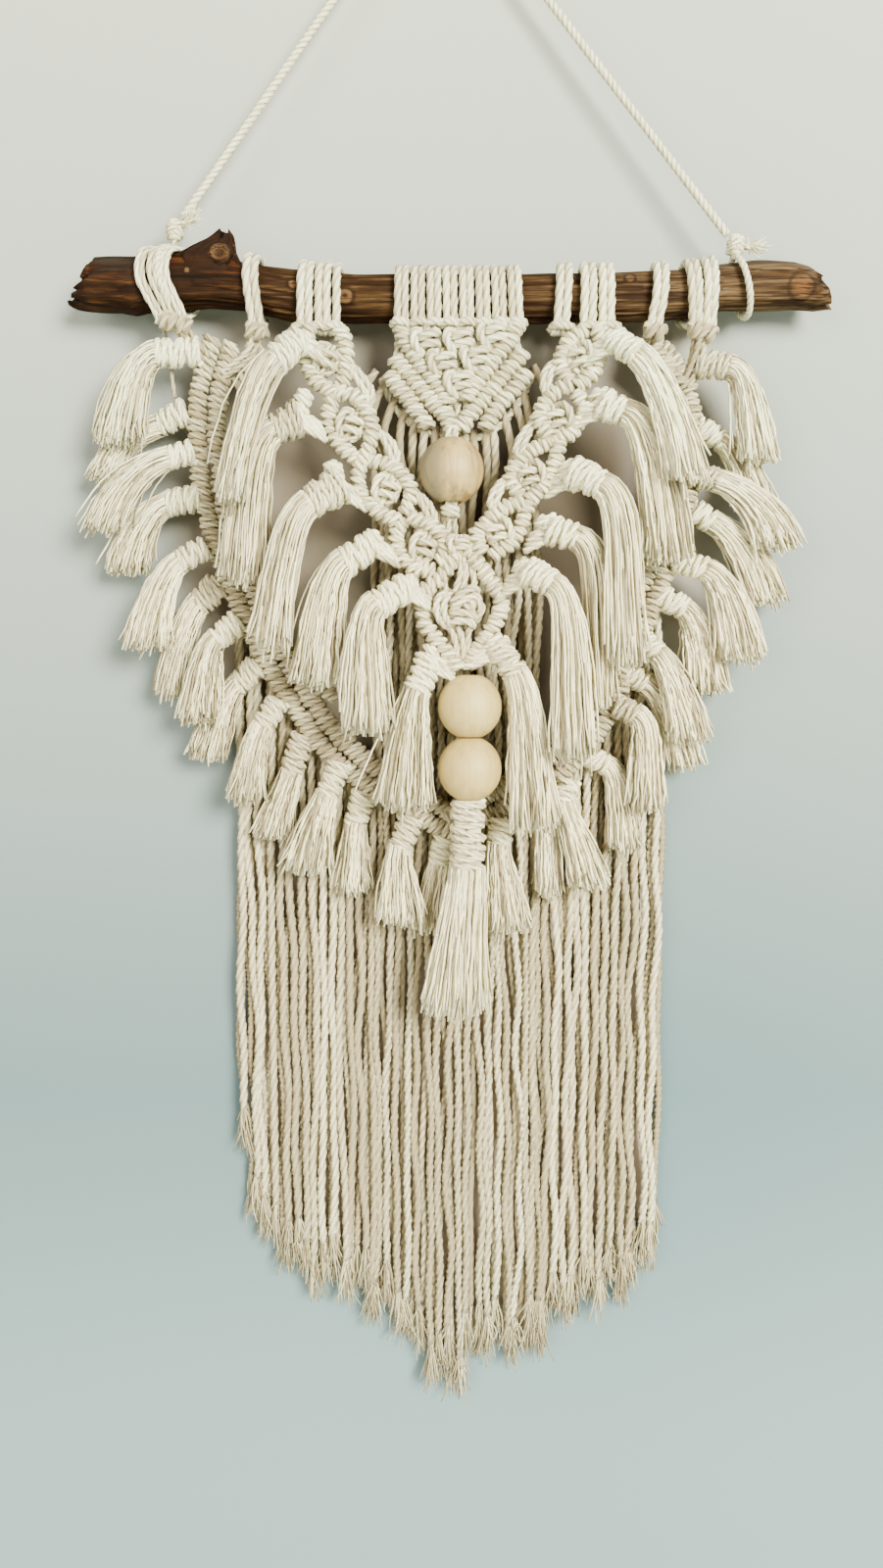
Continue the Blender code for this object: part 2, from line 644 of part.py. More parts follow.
SEAT_STEP = 0.2
SEAT_REACH = 4.0
STEM_HALF = 2.2
Tassel = namedtuple("Tassel", "name level root neck wide tip spread stem", defaults=(None,))
FRONT_TASSELS = (
    Tassel("l1", "near", (-64, -246), (-75, -258), (11.5, 11), (-96, -320), 8, (-61, -243)),
    Tassel("l2", "far", (-65, -281), (-77, -287), (15, 10.5), (-93, -358), 12, (-62, -268)),
    Tassel("l3", "near", (-46, -314), (-60, -324), (15, 11), (-77, -389), 9, (-49, -302)),
    Tassel("l4", "far", (-30, -341), (-44, -350), (11.5, 11.5), (-57, -407), 13, (-29, -335)),
    Tassel("l5", "near", (-14, -362), (-28, -371), (12, 11), (-32, -430), 12.5, (-10, -358)),
    Tassel("l6", "far", (-3, -396), (-9, -412), (11, 10.5), (-15, -470), 12, (-1, -391)),
    Tassel("r1", "near", (84, -246), (95, -255), (10.5, 9.5), (119, -311), 9.5, (80, -243)),
    Tassel("r2", "far", (80, -275), (91, -279), (14, 9.5), (112, -348), 13, (77, -268)),
    Tassel("r3", "near", (66, -308), (79, -315), (14, 10), (91, -397), 9.5, (62, -303)),
    Tassel("r4", "far", (56, -334), (68, -338), (13, 9.5), (80, -417), 8.5, (51, -328)),
    Tassel("r5", "near", (45, -355), (56, -361), (13, 9.5), (67, -442), 12, (40, -350)),
    Tassel("r6", "far", (30, -390), (39, -403), (11, 10), (48, -479), 12.5, (27, -386)),
)
BACK_TASSELS = (
    Tassel("l1", "near", (-118, -244), (-137, -246), (13, 11.5), (-157, -289), 12.5),
    Tassel("l2", "far", (-126, -272), (-138, -278), (13, 10), (-167, -305), 9),
    Tassel("l3", "near", (-122, -293), (-132, -296), (11.5, 9.5), (-164, -331), 11.5),
    Tassel("l4", "far", (-118, -314), (-135, -317), (13, 11), (-156, -351), 12.5),
    Tassel("l5", "near", (-116, -340), (-127, -347), (11, 10), (-145, -389), 11),
    Tassel("l6", "far", (-110, -358), (-120, -367), (14, 11), (-136, -412), 9),
    Tassel("l7", "near", (-100, -377), (-110, -386), (12, 10), (-120, -426), 10),
    Tassel("l8", "far", (-91, -399), (-101, -408), (12, 10), (-116, -445), 10),
    Tassel("l9", "near", (-80, -417), (-87, -429), (11, 10), (-96, -466), 9),
    Tassel("l10", "far", (-68, -435), (-74, -453), (12, 10), (-84, -486), 10),
    Tassel("l11", "near", (-49, -449), (-55, -464), (11, 10), (-66, -502), 12),
    Tassel("l12", "far", (-37, -464), (-41, -479), (11.5, 10), (-43, -514), 10),
    Tassel("l13", "near", (-13, -477), (-18, -491), (12, 10), (-17, -529), 12),
    Tassel("l14", "far", (4, -486), (2, -499), (10, 9), (-4, -533), 8),
    Tassel("r1", "near", (131, -250), (145, -252), (13, 10.5), (160, -297), 11.5),
    Tassel("r2", "far", (133, -280), (144, -286), (11, 9), (161, -320), 9),
    Tassel("r3", "near", (129, -304), (139, -307), (11.5, 9.5), (171, -340), 12),
    Tassel("r4", "far", (130, -321), (140, -326), (12, 10), (167, -366), 12.5),
    Tassel("r5", "near", (121, -346), (135, -351), (11.5, 10), (154, -395), 12.5),
    Tassel("r6", "far", (114, -363), (127, -370), (12, 10), (140, -411), 11),
    Tassel("r7", "near", (106, -387), (112, -393), (11, 9), (129, -436), 10),
    Tassel("r8", "far", (97, -402), (107, -407), (11, 10), (127, -449), 10),
    Tassel("r9", "near", (92, -419), (101, -423), (11, 10), (107, -470), 9),
    Tassel("r10", "far", (78, -444), (88, -449), (11, 9), (97, -491), 9.5),
    Tassel("r11", "near", (67, -458), (65, -467), (12, 10), (78, -509), 11),
    Tassel("r12", "far", (54, -463), (57, -472), (10, 9), (59, -515), 7.5),
    Tassel("r13", "near", (34, -478), (32, -489), (12, 10), (36, -532), 11),
)


def fringe_lines(start, heading_to, across, foot, spread):
    """The fringe's middle line, a cubic from a sloping start to a foot reached straight down, and
    its half-width at each step, which turns from the neck's own to level at the foot."""
    length = path_length([start, foot])
    t = np.linspace(0, 1, FRINGE_STEPS + 1)[:, None]
    near, far = (1 - t) ** 3 + 3 * (1 - t) ** 2 * t, 3 * (1 - t) * t**2 + t**3
    middle = near * start + 3 * (1 - t) ** 2 * t * heading_to * FRINGE_BEND * length
    middle += far * foot + 3 * (1 - t) * t**2 * np.array([0, 0, 0.45 * length])
    return middle, near * across + far * np.array([spread, 0, 0])


def head_section(centre, across, half_width, half_depth, locks):
    """A ring round the head: a front row of points and a back row, one for each seam between locks."""
    column = np.linspace(-1, 1, locks + 1)
    bulge = np.sqrt(1 - 0.75 * column**2)
    front = centre + np.outer(column * half_width, across) - np.outer(bulge * half_depth, (0, 1, 0))
    back = centre + np.outer(column * half_width, across) + np.outer(bulge * half_depth, (0, 1, 0))
    return np.vstack([front, back[::-1]])


def tassel_shape(head, wide, deep, tip, spread, locks, half_depth):
    """The wrapped head as a skin over its sections, and from each column of its last section one
    lock that hangs to the foot. Neighbouring locks part just below the neck."""
    head = np.asarray(head, float)
    heading_to = unit(head[-1] - head[-2])
    across = unit(np.array([-heading_to[2], 0, heading_to[0]]))
    across *= 1 if across[0] > 0 else -1
    rings = [head_section(c, across, w, d, locks) for c, w, d in zip(head, wide, deep)]
    vertices, faces = loft(rings)
    faces = faces[:-1]
    vertices = list(vertices)
    around = 2 * locks + 2
    last = (len(rings) - 1) * around
    middle, side = fringe_lines(head[-1], heading_to, across * wide[-1], np.array(tip), spread)
    inset = LOCK_GAP / 2 / np.linalg.norm(side, axis=1)
    for number in range(locks):
        left, right = 2 * number / locks - 1, 2 * (number + 1) / locks - 1
        ring = [last + number, last + number + 1, last + around - 2 - number, last + around - 1 - number]
        lift = 3 * rng.random() + abs(left + right)
        for step in range(1, FRINGE_STEPS + 1):
            corner = len(vertices)
            ends = step == FRINGE_STEPS
            narrow = inset[step] + (0.1 / locks if ends else 0)
            thick = half_depth * (0.6 if ends else 1.0)
            near, far = left + narrow, right - narrow
            for along, forward in ((near, -1), (far, -1), (far, 1), (near, 1)):
                offset = np.array([0, forward * thick, lift if ends else 0])
                vertices.append(middle[step] + along * side[step] + offset)
            below = [corner, corner + 1, corner + 2, corner + 3]
            for k in range(4):
                faces.append((ring[k], ring[(k + 1) % 4], below[(k + 1) % 4], below[k]))
            ring = below
        faces.append(tuple(ring))
    return np.array(vertices), faces


def surface_of(*names):
    """The surface of finished pieces, for measuring to."""
    graph = bpy.context.evaluated_depsgraph_get()
    return [BVHTree.FromObject(bpy.data.objects[name], graph) for name in names]


def clear_of(shape, trees):
    """True where a shape is GAP or more from every surface."""
    vertices, faces = shape
    points = [(x * MM, y * MM, (z - NAIL_Z) * MM) for x, y, z in vertices]
    own = BVHTree.FromPolygons(points, [tuple(face) for face in faces])
    if any(own.overlap(tree) for tree in trees):
        return False
    near = (tree.find_nearest(point, GAP * MM)[0] for tree in trees for point in points)
    return all(found is None for found in near)


def nearest_on(trees, point):
    """The point nearest to another on the surfaces, both in millimetres from the table's origin."""
    x, y, z = point
    found = [tree.find_nearest((x * MM, y * MM, (z - NAIL_Z) * MM)) for tree in trees]
    place = min(found, key=lambda hit: hit[3])[0]
    return np.array(place) / MM + np.array([0, 0, NAIL_Z])


def build_tassel(prefix, row, levels, band_y, trees):
    """A tassel seated on its band. The head slides out from the band until it is clear of it, and
    a front tassel's short stem reaches from there to the band's nearest face."""
    level_y = levels[row.level]
    root = np.array([row.root[0], band_y + (level_y - band_y) * 0.6, row.root[1]])
    neck = np.array([row.neck[0], level_y, row.neck[1]])
    tip = (row.tip[0], level_y, row.tip[1])
    wide = np.array([0.78 * row.wide[0], row.wide[1]]) / 2
    seed = rng.bit_generator.state

    def shape(head, half):
        rng.bit_generator.state = seed
        deep = np.minimum(half * 0.85, 4.7)
        return tassel_shape(head, half, deep, tip, row.spread, LOCKS, HALF_DEPTH)

    outward = unit(neck - root)
    slides = np.arange(0 if row.stem else -SEAT_REACH, SEAT_REACH * 2, SEAT_STEP)
    clear = [clear_of(shape([root + outward * d, neck + outward * d], wide), trees) for d in slides]
    first = len(clear) - clear[::-1].index(False) if False in clear else 0
    slide = slides[min(first, len(slides) - 1)]
    root, neck = root + outward * slide, neck + outward * slide
    made = shape([root, neck], wide)
    if row.stem:
        start = root + (neck - root) * 0.12
        seat = nearest_on(trees, (row.stem[0], band_y - FRONT_BAR_RADIUS, row.stem[1]))
        run = unit(start - seat)
        for reach in np.arange(0, path_length([seat, start]) / 2, SEAT_STEP):
            made = shape([seat + run * reach, start, neck], np.append(STEM_HALF, wide))
            if clear_of(made, trees):
                break
    new_object(f"{prefix}_tassel_{row.name}", [made], COTTON)


front_surface = surface_of("front_band", "bead_middle", "bead_lower")
for row in FRONT_TASSELS:
    build_tassel("front", row, FRONT_TASSEL_Y, FRONT_BAND_Y, front_surface)
back_surface = surface_of("back_band")
for row in BACK_TASSELS:
    build_tassel("back", row, BACK_TASSEL_Y, BACK_BAND_Y, back_surface)

MAIN_NECK_Z = -500.0
MAIN_LOCKS = 6
MAIN_TIP = (9.0, -29.0, -571.0)


def build_main_tassel():
    """The long tassel under the beads: a straight wrapped head and six locks."""
    x, y, _ = BEAD_3
    heights = np.array([MAIN_HEAD_TOP, MAIN_HEAD_TOP - 4, -483, MAIN_NECK_Z])
    head = np.stack([np.full(4, x), np.full(4, y), heights], 1)
    wide = np.array([7.5, 9.0, 9.3, 8.8])
    shape = tassel_shape(head, wide, wide * 0.85, MAIN_TIP, 16, MAIN_LOCKS, 6.0)
    new_object("main_tassel", [shape], COTTON)


build_main_tassel()
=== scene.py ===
"""A macrame wall hanging of undyed cotton cord on a driftwood branch, hung from one nail.

Sizes are millimetres. Heights are taken from the point where the hanger rope's two straight runs
would cross, and become metres below the nail only where a mesh is made.
"""

import math
from collections import namedtuple

import bmesh
import bpy
import numpy as np
from mathutils import Matrix


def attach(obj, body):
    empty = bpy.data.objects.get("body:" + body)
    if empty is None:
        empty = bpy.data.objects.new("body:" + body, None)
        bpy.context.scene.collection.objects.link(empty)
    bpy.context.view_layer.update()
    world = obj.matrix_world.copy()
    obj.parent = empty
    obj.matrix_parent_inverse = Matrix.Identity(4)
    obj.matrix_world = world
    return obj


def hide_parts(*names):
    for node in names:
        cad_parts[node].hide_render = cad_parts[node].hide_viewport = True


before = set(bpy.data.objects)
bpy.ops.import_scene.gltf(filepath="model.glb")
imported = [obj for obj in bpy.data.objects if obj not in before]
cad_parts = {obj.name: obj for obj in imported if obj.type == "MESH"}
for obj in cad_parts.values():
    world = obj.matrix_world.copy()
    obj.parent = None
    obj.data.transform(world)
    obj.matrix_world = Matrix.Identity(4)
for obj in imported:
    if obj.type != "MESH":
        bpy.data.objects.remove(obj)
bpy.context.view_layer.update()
rng = np.random.default_rng(11)

# --- Camera ----------------------------------------------------------------
# It stands level with the lower band, close to the wall, and looks slightly down.

lens = bpy.data.cameras.new("camera")
lens.sensor_fit = "VERTICAL"
lens.sensor_height = 36
lens.lens = 26.685
lens.clip_start = 0.02
camera = bpy.data.objects.new("camera", lens)
camera.location = (0.0031, -0.600, -0.4086)
camera.rotation_euler = (math.radians(86), 0, 0)
bpy.context.scene.collection.objects.link(camera)
bpy.context.scene.camera = camera

# --- Hanger rope -----------------------------------------------------------
# A twisted cotton rope of three plies, pulled taut over the nail between a knot at each end of
# the branch. The same rope surface serves for every cord of the hanging.

CORD = 4.0
KNOT_LEFT = np.array([-128.5, -9.0, -184.5])
KNOT_RIGHT = np.array([148.0, -9.5, -192.0])
ROPE_CORNER = np.array([0, 0, -1.0])
BEND_RADIUS = 2 * CORD
KNOT_CLEARANCE = 6.5  # from a knot's centre to the rope's end


def unit(vectors):
    """Each vector divided by its own length."""
    return vectors / np.linalg.norm(vectors, axis=-1, keepdims=True)


def lengths_along(points):
    """Distance from the first point to each point of a path, or of each of several paths."""
    steps = np.linalg.norm(np.diff(points, axis=-2), axis=-1)
    return np.concatenate([np.zeros_like(steps[..., :1]), np.cumsum(steps, axis=-1)], -1)


def curve_through(points, count=None, step=None):
    """A Catmull-Rom curve through the points, read again at even distances along it."""
    points = np.asarray(points, float)
    ends = np.vstack([2 * points[0] - points[1], points, 2 * points[-1] - points[-2]])
    at = np.linspace(0, len(points) - 1, 24 * len(points))
    left = np.minimum(at.astype(int), len(points) - 2)
    t = (at - left)[:, None]
    p0, p1, p2, p3 = (ends[left + k] for k in range(4))
    cubic, square = 3 * (p1 - p2) + p3 - p0, 2 * p0 - 5 * p1 + 4 * p2 - p3
    fine = 0.5 * (cubic * t**3 + square * t**2 + (p2 - p0) * t + 2 * p1)
    along = lengths_along(fine)
    if count is None:
        count = max(3, int(math.ceil(along[-1] / step)) + 1)
    even = np.linspace(0, along[-1], count)
    return np.stack([np.interp(even, along, fine[:, k]) for k in range(3)], 1)


def carried_frames(paths):
    """Two directions square to each path, carried along it without turning about it."""
    tangent = unit(np.gradient(paths, axis=1))
    first = np.cross((0.0, 1.0, 0.0), tangent[:, 0])
    flat = np.linalg.norm(first, axis=1) < 0.3
    first[flat] = np.cross((1.0, 0.0, 0.0), tangent[flat, 0])
    sides = np.empty_like(paths)
    sides[:, 0] = unit(first)
    for i in range(1, paths.shape[1]):
        before, here = sides[:, i - 1], tangent[:, i]
        sides[:, i] = unit(before - (before * here).sum(1, keepdims=True) * here)
    return sides, np.cross(tangent, sides)


def rope_skin(paths, radius, plies=3, pitch=16.0, groove=0.86):
    """Ropes of twisted plies along paths of equal point counts. Each ring has a point on every
    ply's crest, at the full radius, and one in every groove, and turns once in each pitch."""
    paths = np.asarray(paths, float)
    paths = paths[None] if paths.ndim == 2 else paths
    along = lengths_along(paths)
    start = rng.random((len(paths), 1)) * 2 * math.pi
    around = np.arange(2 * plies) * math.pi / plies
    angle = (start + along * 2 * math.pi / pitch)[:, :, None] + around
    reach = np.where(np.arange(2 * plies) % 2, groove, 1.0)
    reach = reach * np.broadcast_to(np.asarray(radius, float), along.shape)[:, :, None]
    one, two = carried_frames(paths)
    return (
        paths[:, :, None]
        + (reach * np.cos(angle))[..., None] * one[:, :, None]
        + (reach * np.sin(angle))[..., None] * two[:, :, None]
    )


def plain_skin(paths, radius, sides, flat=1.0):
    """Smooth tubes: a circle of the radius round each point, squeezed to `flat` one way."""
    paths = np.asarray(paths, float)
    paths = paths[None] if paths.ndim == 2 else paths
    angle = np.arange(sides) * 2 * math.pi / sides
    one, two = carried_frames(paths)
    reach = np.broadcast_to(np.asarray(radius, float), paths.shape[:2])[:, :, None, None]
    wide = np.cos(angle)[:, None] * one[:, :, None]
    deep = flat * np.sin(angle)[:, None] * two[:, :, None]
    return paths[:, :, None] + reach * (wide + deep)


# Painted shade: a point that stands out from its ring is lighter and one in a groove is darker, by
# its share of the mean radius, up to a limit.
CREST_SHADING = 7.0  # for each share of the mean radius by which a point stands out
CREST_SHADING_LIMIT = 0.05


def in_metres(points):
    """Millimetres from the straight runs' crossing, turned into metres from the nail."""
    return (np.asarray(points, float) - np.array([0, 0, NAIL_Z])) * 0.001


def knitted_mesh(name, skins, shade_bias=None, spread=1.0):
    """One mesh from skins, grids of points by strand, step and place round the ring. Quads join
    neighbouring rings and a cap closes each end. UV runs once round a rope, a tenth of the way
    round anything smoother, and in centimetres along it. Each point's tone is a random number
    for each strand, plus the skin's own offset, which is painted shade where it is below nought
    and painted light where it is above. The tone also falls from the crests to the grooves by
    how near they lie to the strand's middle, a painted shade in the grooves."""
    points, quads, caps, quad_uv, tones, base = [], [], [], [], [], 0
    for skin, lift in zip(skins, shade_bias or [0.0] * len(skins)):
        strands, steps, around = skin.shape[:3]
        index = base + np.arange(strands * steps * around).reshape(strands, steps, around)
        base += index.size
        turned = np.roll(index, -1, axis=2)
        faces = np.stack([index[:, :-1], turned[:, :-1], turned[:, 1:], index[:, 1:]], -1)
        middle = skin.mean(axis=2)
        edges = skin[0, 1, 1] - skin[0, 1, 0], skin[0, 2, 0] - skin[0, 1, 0]
        inward = np.cross(*edges) @ (skin[0, 1, 0] - middle[0, 1]) < 0
        ends = np.concatenate([index[:, 0], index[:, -1, ::-1]])
        v = lengths_along(middle) * 0.1 + rng.random((strands, 1)) * 50
        round_once = 1.0 if around == 6 else 0.1
        u0 = np.broadcast_to(np.arange(around) * round_once / around, (strands, steps - 1, around))
        v0 = np.broadcast_to(v[:, :-1, None], u0.shape)
        v1 = np.broadcast_to(v[:, 1:, None], u0.shape)
        u1 = u0 + round_once / around
        corners = np.stack([u0, v0, u1, v0, u1, v1, u0, v1], -1).reshape(*u0.shape, 4, 2)
        points.append(skin.reshape(-1, 3))
        quads.append((faces[..., ::-1] if inward else faces).reshape(-1, 4))
        caps.append(ends if inward else ends[:, ::-1])
        quad_uv.append((corners[:, :, :, ::-1] if inward else corners).reshape(-1, 2))
        # Each strand's tone: a random share, plus the skin's offset (painted shade below nought,
        # painted light above), plus painted shade in the grooves.
        reach = np.linalg.norm(skin - middle[:, :, None], axis=3)
        crest = np.minimum(reach / reach.mean(axis=2, keepdims=True) - 1, CREST_SHADING_LIMIT)
        tones.append((spread * rng.random((strands, 1, 1)) + lift + CREST_SHADING * crest).ravel())
    places = in_metres(np.vstack(points))
    corner_index = np.concatenate([np.vstack(quads).ravel(), *(cap.ravel() for cap in caps)])
    cap_sizes = [np.full(len(cap), cap.shape[1]) for cap in caps]
    sizes = np.concatenate([np.full(sum(map(len, quads)), 4), *cap_sizes])
    cap_uv = np.zeros((sum(cap.size for cap in caps), 2))
    mesh = bpy.data.meshes.new(name)
    mesh.vertices.add(len(places))
    mesh.vertices.foreach_set("co", places.ravel())
    mesh.loops.add(len(corner_index))
    mesh.loops.foreach_set("vertex_index", corner_index.astype(np.int32))
    mesh.polygons.add(len(sizes))
    mesh.polygons.foreach_set("loop_start", np.append(0, np.cumsum(sizes)[:-1]).astype(np.int32))
    mesh.polygons.foreach_set("loop_total", sizes.astype(np.int32))
    mesh.polygons.foreach_set("use_smooth", np.ones(len(sizes), bool))
    mesh.uv_layers.new(name="UVMap").data.foreach_set("uv", np.vstack([*quad_uv, cap_uv]).ravel())
    mesh.attributes.new("tone_and_shade", "FLOAT", "POINT").data.foreach_set("value", np.concatenate(tones))
    mesh.update(calc_edges=True)
    return mesh


def make_piece(name, mesh, material, slot, *nodes):
    """A finished piece at the origin, riding on the one body in the place of its CAD nodes."""
    piece = bpy.data.objects.new(name, mesh)
    bpy.context.scene.collection.objects.link(piece)
    mesh.materials.append(material)
    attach(piece, "root")
    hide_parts(*nodes)
    return piece


class Shade:
    """A value in a material's node tree. Arithmetic on it adds Math nodes."""

    def __init__(self, tree, socket=None):
        self.tree, self.socket = tree, socket

    def node(self, kind, values, output=0, **settings):
        """A new node with its settings and its inputs' values or links, as one of its outputs."""
        made = self.tree.nodes.new(kind)
        for key, value in settings.items():
            setattr(made, key, value)
        for key, value in dict(values).items():
            if isinstance(value, Shade):
                self.tree.links.new(value.socket, made.inputs[key])
            else:
                made.inputs[key].default_value = value
        return Shade(self.tree, made.outputs[output])

    def math(self, operation, *values):
        """One Math node: the operation on the values in turn."""
        return self.node("ShaderNodeMath", enumerate(values), operation=operation)

    def mix(self, share, first, second):
        """The first colour where the share is 0, the second where it is 1, a blend between."""
        first, second = (c if isinstance(c, Shade) else (*c, 1) for c in (first, second))
        return self.node("ShaderNodeMix", {0: share, 6: first, 7: second}, 2, data_type="RGBA")

    def ramp(self, start, end, low=0.0, high=1.0, kind="LINEAR"):
        """`low` up to this value's `start`, `high` from its `end` on, a straight line between."""
        values = {0: self, 1: start, 2: end, 3: low, 4: high}
        return self.node("ShaderNodeMapRange", values, interpolation_type=kind)

    def ease(self, start, end, low=0.0, high=1.0):
        """The same as ramp, with a smooth S between."""
        return self.ramp(start, end, low, high, "SMOOTHSTEP")

    def colours(self, stops):
        """The colour at this value, read between stops of a position and a colour."""
        made = self.node("ShaderNodeValToRGB", {0: self})
        elements = made.socket.node.color_ramp.elements
        while len(elements) < len(stops):
            elements.new(0.5)
        for element, (position, colour) in zip(elements, stops):
            element.position, element.color = position, (*colour, 1)
        return made

    def mapped(self, **changes):
        """This place scaled, turned and moved."""
        return self.node("ShaderNodeMapping", {"Vector": self, **changes})

    def axis(self, number):
        """This place's x, y or z, by number."""
        return self.node("ShaderNodeSeparateXYZ", {0: self}, number)

    def distance(self, point):
        """How far this place is from a point: the length of their difference."""
        return self.node("ShaderNodeVectorMath", {0: self, 1: point}, 1, operation="DISTANCE")

    def noise(self, scale, detail, roughness=0.5):
        """Cloudy noise at this place: `detail` finer layers, each `roughness` times as strong."""
        values = {"Vector": self, "Scale": scale, "Detail": detail, "Roughness": roughness}
        return self.node("ShaderNodeTexNoise", values)

    def bump(self, strength, distance):
        """A normal tilted by the slope of this value, taken as a height."""
        values = {"Strength": strength, "Distance": distance, "Height": self}
        return self.node("ShaderNodeBump", values)

    def __add__(self, other):
        return self.math("ADD", self, other)

    def __sub__(self, other):
        return self.math("SUBTRACT", self, other)

    def __rsub__(self, other):
        return self.math("SUBTRACT", other, self)

    def __mul__(self, other):
        return self.math("MULTIPLY", self, other)

    def __abs__(self):
        return self.math("ABSOLUTE", self)

    __radd__, __rmul__ = __add__, __mul__


def new_finish(name, roughness, gloss=0.2, sheen=0.0):
    """A material with its fixed values set, the shade to build on and the shader to feed."""
    material = bpy.data.materials.new(name)
    material.use_nodes = True
    shader = material.node_tree.nodes["Principled BSDF"]
    shader.inputs["Roughness"].default_value = roughness
    shader.inputs["Specular IOR Level"].default_value = gloss
    shader.inputs["Sheen Weight"].default_value = sheen
    shader.inputs["Sheen Roughness"].default_value = 0.5
    return material, Shade(material.node_tree), shader


def feed(shader, **sockets):
    """Links each value to the shader's socket of that name."""
    for name, value in sockets.items():
        value.tree.links.new(value.socket, shader.inputs[name.replace("_", " ")])


CREAM = (0.88, 0.85, 0.535)
YELLOWER_CREAM = (0.89, 0.80, 0.485)
SHADOWED = (0.33, 0.26, 0.135)
CREASE_SHADE = (0.27, 0.215, 0.12)


def cotton_finish():
    """Undyed cotton: cream that varies from strand to strand and is yellower halfway down, blended
    towards a painted shade colour by each point's tone, which carries painted shade and light.
    Fibres run along it, and painted shade darkens thin lines between them and a line in each of
    a rope's three grooves, at a sixth, a half and five sixths of the way round."""
    material, shade, shader = new_finish("cotton_cord", 0.92, 0.12, 0.08)
    along = shade.node("ShaderNodeUVMap", {}, uv_map="UVMap")
    fibre = along.mapped(Scale=(14.0, 1.5, 1.0)).noise(1.0, 3.0, 0.6)
    round_ply = shade.math("FRACT", along.axis(0) * 3.0)
    groove = abs(round_ply - 0.5).ease(0.03, 0.16, 1.0, 0.0)
    line = fibre.ramp(0.37, 0.47, 1.0, 0.0)
    tone_and_shade = shade.node("ShaderNodeAttribute", {}, "Fac", attribute_name="tone_and_shade")
    place = shade.node("ShaderNodeTexCoord", {}, "Object")
    share = tone_and_shade * 0.5 + fibre * 0.5 + place.noise(45.0, 2.0) * 0.3
    height = place.axis(2)
    # The cream is yellower over a band of height halfway down.
    halfway_down = height.ease(-0.22, -0.38) * height.ease(-0.74, -0.62)
    # Painted shade: the share, led by each point's tone, blends the cream towards a shaded colour.
    colour = shade.mix(share, SHADOWED, shade.mix(halfway_down, CREAM, YELLOWER_CREAM))
    # Painted shade in each of a rope's three grooves and in thin lines between the fibres.
    colour = shade.mix(groove * 0.48 + line * 0.38, colour, CREASE_SHADE)
    feed(shader, Base_Color=colour, Normal=(fibre - groove * 0.4).bump(0.7, 0.0009))
    return material


def hanger_route():
    """The two ends of the rope's centreline and the arc over the nail. The arc's middle is on the
    bisector of the straight runs, at the radius over the sine of half their angle."""
    to_left, to_right = unit(KNOT_LEFT - ROPE_CORNER), unit(KNOT_RIGHT - ROPE_CORNER)
    half = math.acos(float(to_left @ to_right)) / 2
    tangent = BEND_RADIUS / math.tan(half)
    middle = ROPE_CORNER + unit(to_left + to_right) * BEND_RADIUS / math.sin(half)
    start, end = ROPE_CORNER + to_left * tangent, ROPE_CORNER + to_right * tangent
    share = np.linspace(0, 1, 9)[:, None]
    arc = middle + BEND_RADIUS * unit((start - middle) * (1 - share) + (end - middle) * share)
    first, last = KNOT_LEFT - to_left * KNOT_CLEARANCE, KNOT_RIGHT - to_right * KNOT_CLEARANCE
    return first, arc, last


ROPE_FIRST, ROPE_ARC, ROPE_LAST = hanger_route()
NAIL_Z = float(ROPE_ARC[:, 2].max()) - CORD / 2
ROPE_STEP = 1.8

runs = [np.linspace(ROPE_FIRST, ROPE_ARC[0], 116), curve_through(ROPE_ARC, step=ROPE_STEP)[1:-1]]
runs.append(np.linspace(ROPE_ARC[-1], ROPE_LAST, 126))
rope_path = np.vstack(runs)
rope_metres = in_metres(rope_path)
COTTON = cotton_finish()


def cotton_piece(name, skins, node, shade_bias=None, spread=1.0):
    """A finished piece of cotton from its skins, in the place of one CAD node."""
    return make_piece(name, knitted_mesh(node, skins, shade_bias, spread), COTTON, "cotton_cord", node)


rope_skins = [rope_skin(rope_path, CORD * 0.54, pitch=11.0, groove=0.82)]
rope = cotton_piece("hanger_rope_twisted", rope_skins, "hanger_rope")
float(lengths_along(rope_metres)[-1])

# --- Driftwood branch -------------------------------------------------------
# A dry branch about 25 mm thick, with a broken side shoot near the left end and both ends torn.
# Its skin is its radius at each place along and round it, furrowed along the grain.

Section = namedtuple("Section", "x z radius")
BRANCH = (
    Section(-181, -212.5, 11.0),
    Section(-174, -210.2, 13.4),
    Section(-157, -210.6, 14.0),
    Section(-149, -211.4, 14.7),
    Section(-135, -209, 13.8),
    Section(-111, -209.5, 12.6),
    Section(-94, -211.5, 12.0),
    Section(-70, -216, 12.6),
    Section(-40, -217.5, 12.2),
    Section(0, -217.5, 11.8),
    Section(44, -217.5, 11.8),
    Section(76, -216.5, 11.9),
    Section(107, -216.3, 12.0),
    Section(127, -215, 12.0),
    Section(142, -212, 11.4),
    Section(160, -211, 12.0),
    Section(178, -210.8, 11.6),
    Section(189, -212.3, 11.2),
    Section(195, -213.0, 9.8),
)
BRANCH_Y = -7.5
BRANCH_STEPS = 420
BRANCH_AROUND = 84
Scar = namedtuple("Scar", "x angle wide depth")
SCARS = (  # knots in the wood, their angles in degrees up from straight ahead
    Scar(-69, 11, 3.0, 1.2),
    Scar(-44, -11, 4.2, 0.9),
    Scar(95, 33, 2.9, 1.5),
    Scar(102.5, 5, 1.2, 0.6),
    Scar(-120.5, 8, 2.0, 0.7),
)


def branch_at(x):
    """The branch's centre height and radius at x."""
    xs = [s.x for s in BRANCH]
    return np.interp(x, xs, [s.z for s in BRANCH]), np.interp(x, xs, [s.radius for s in BRANCH])


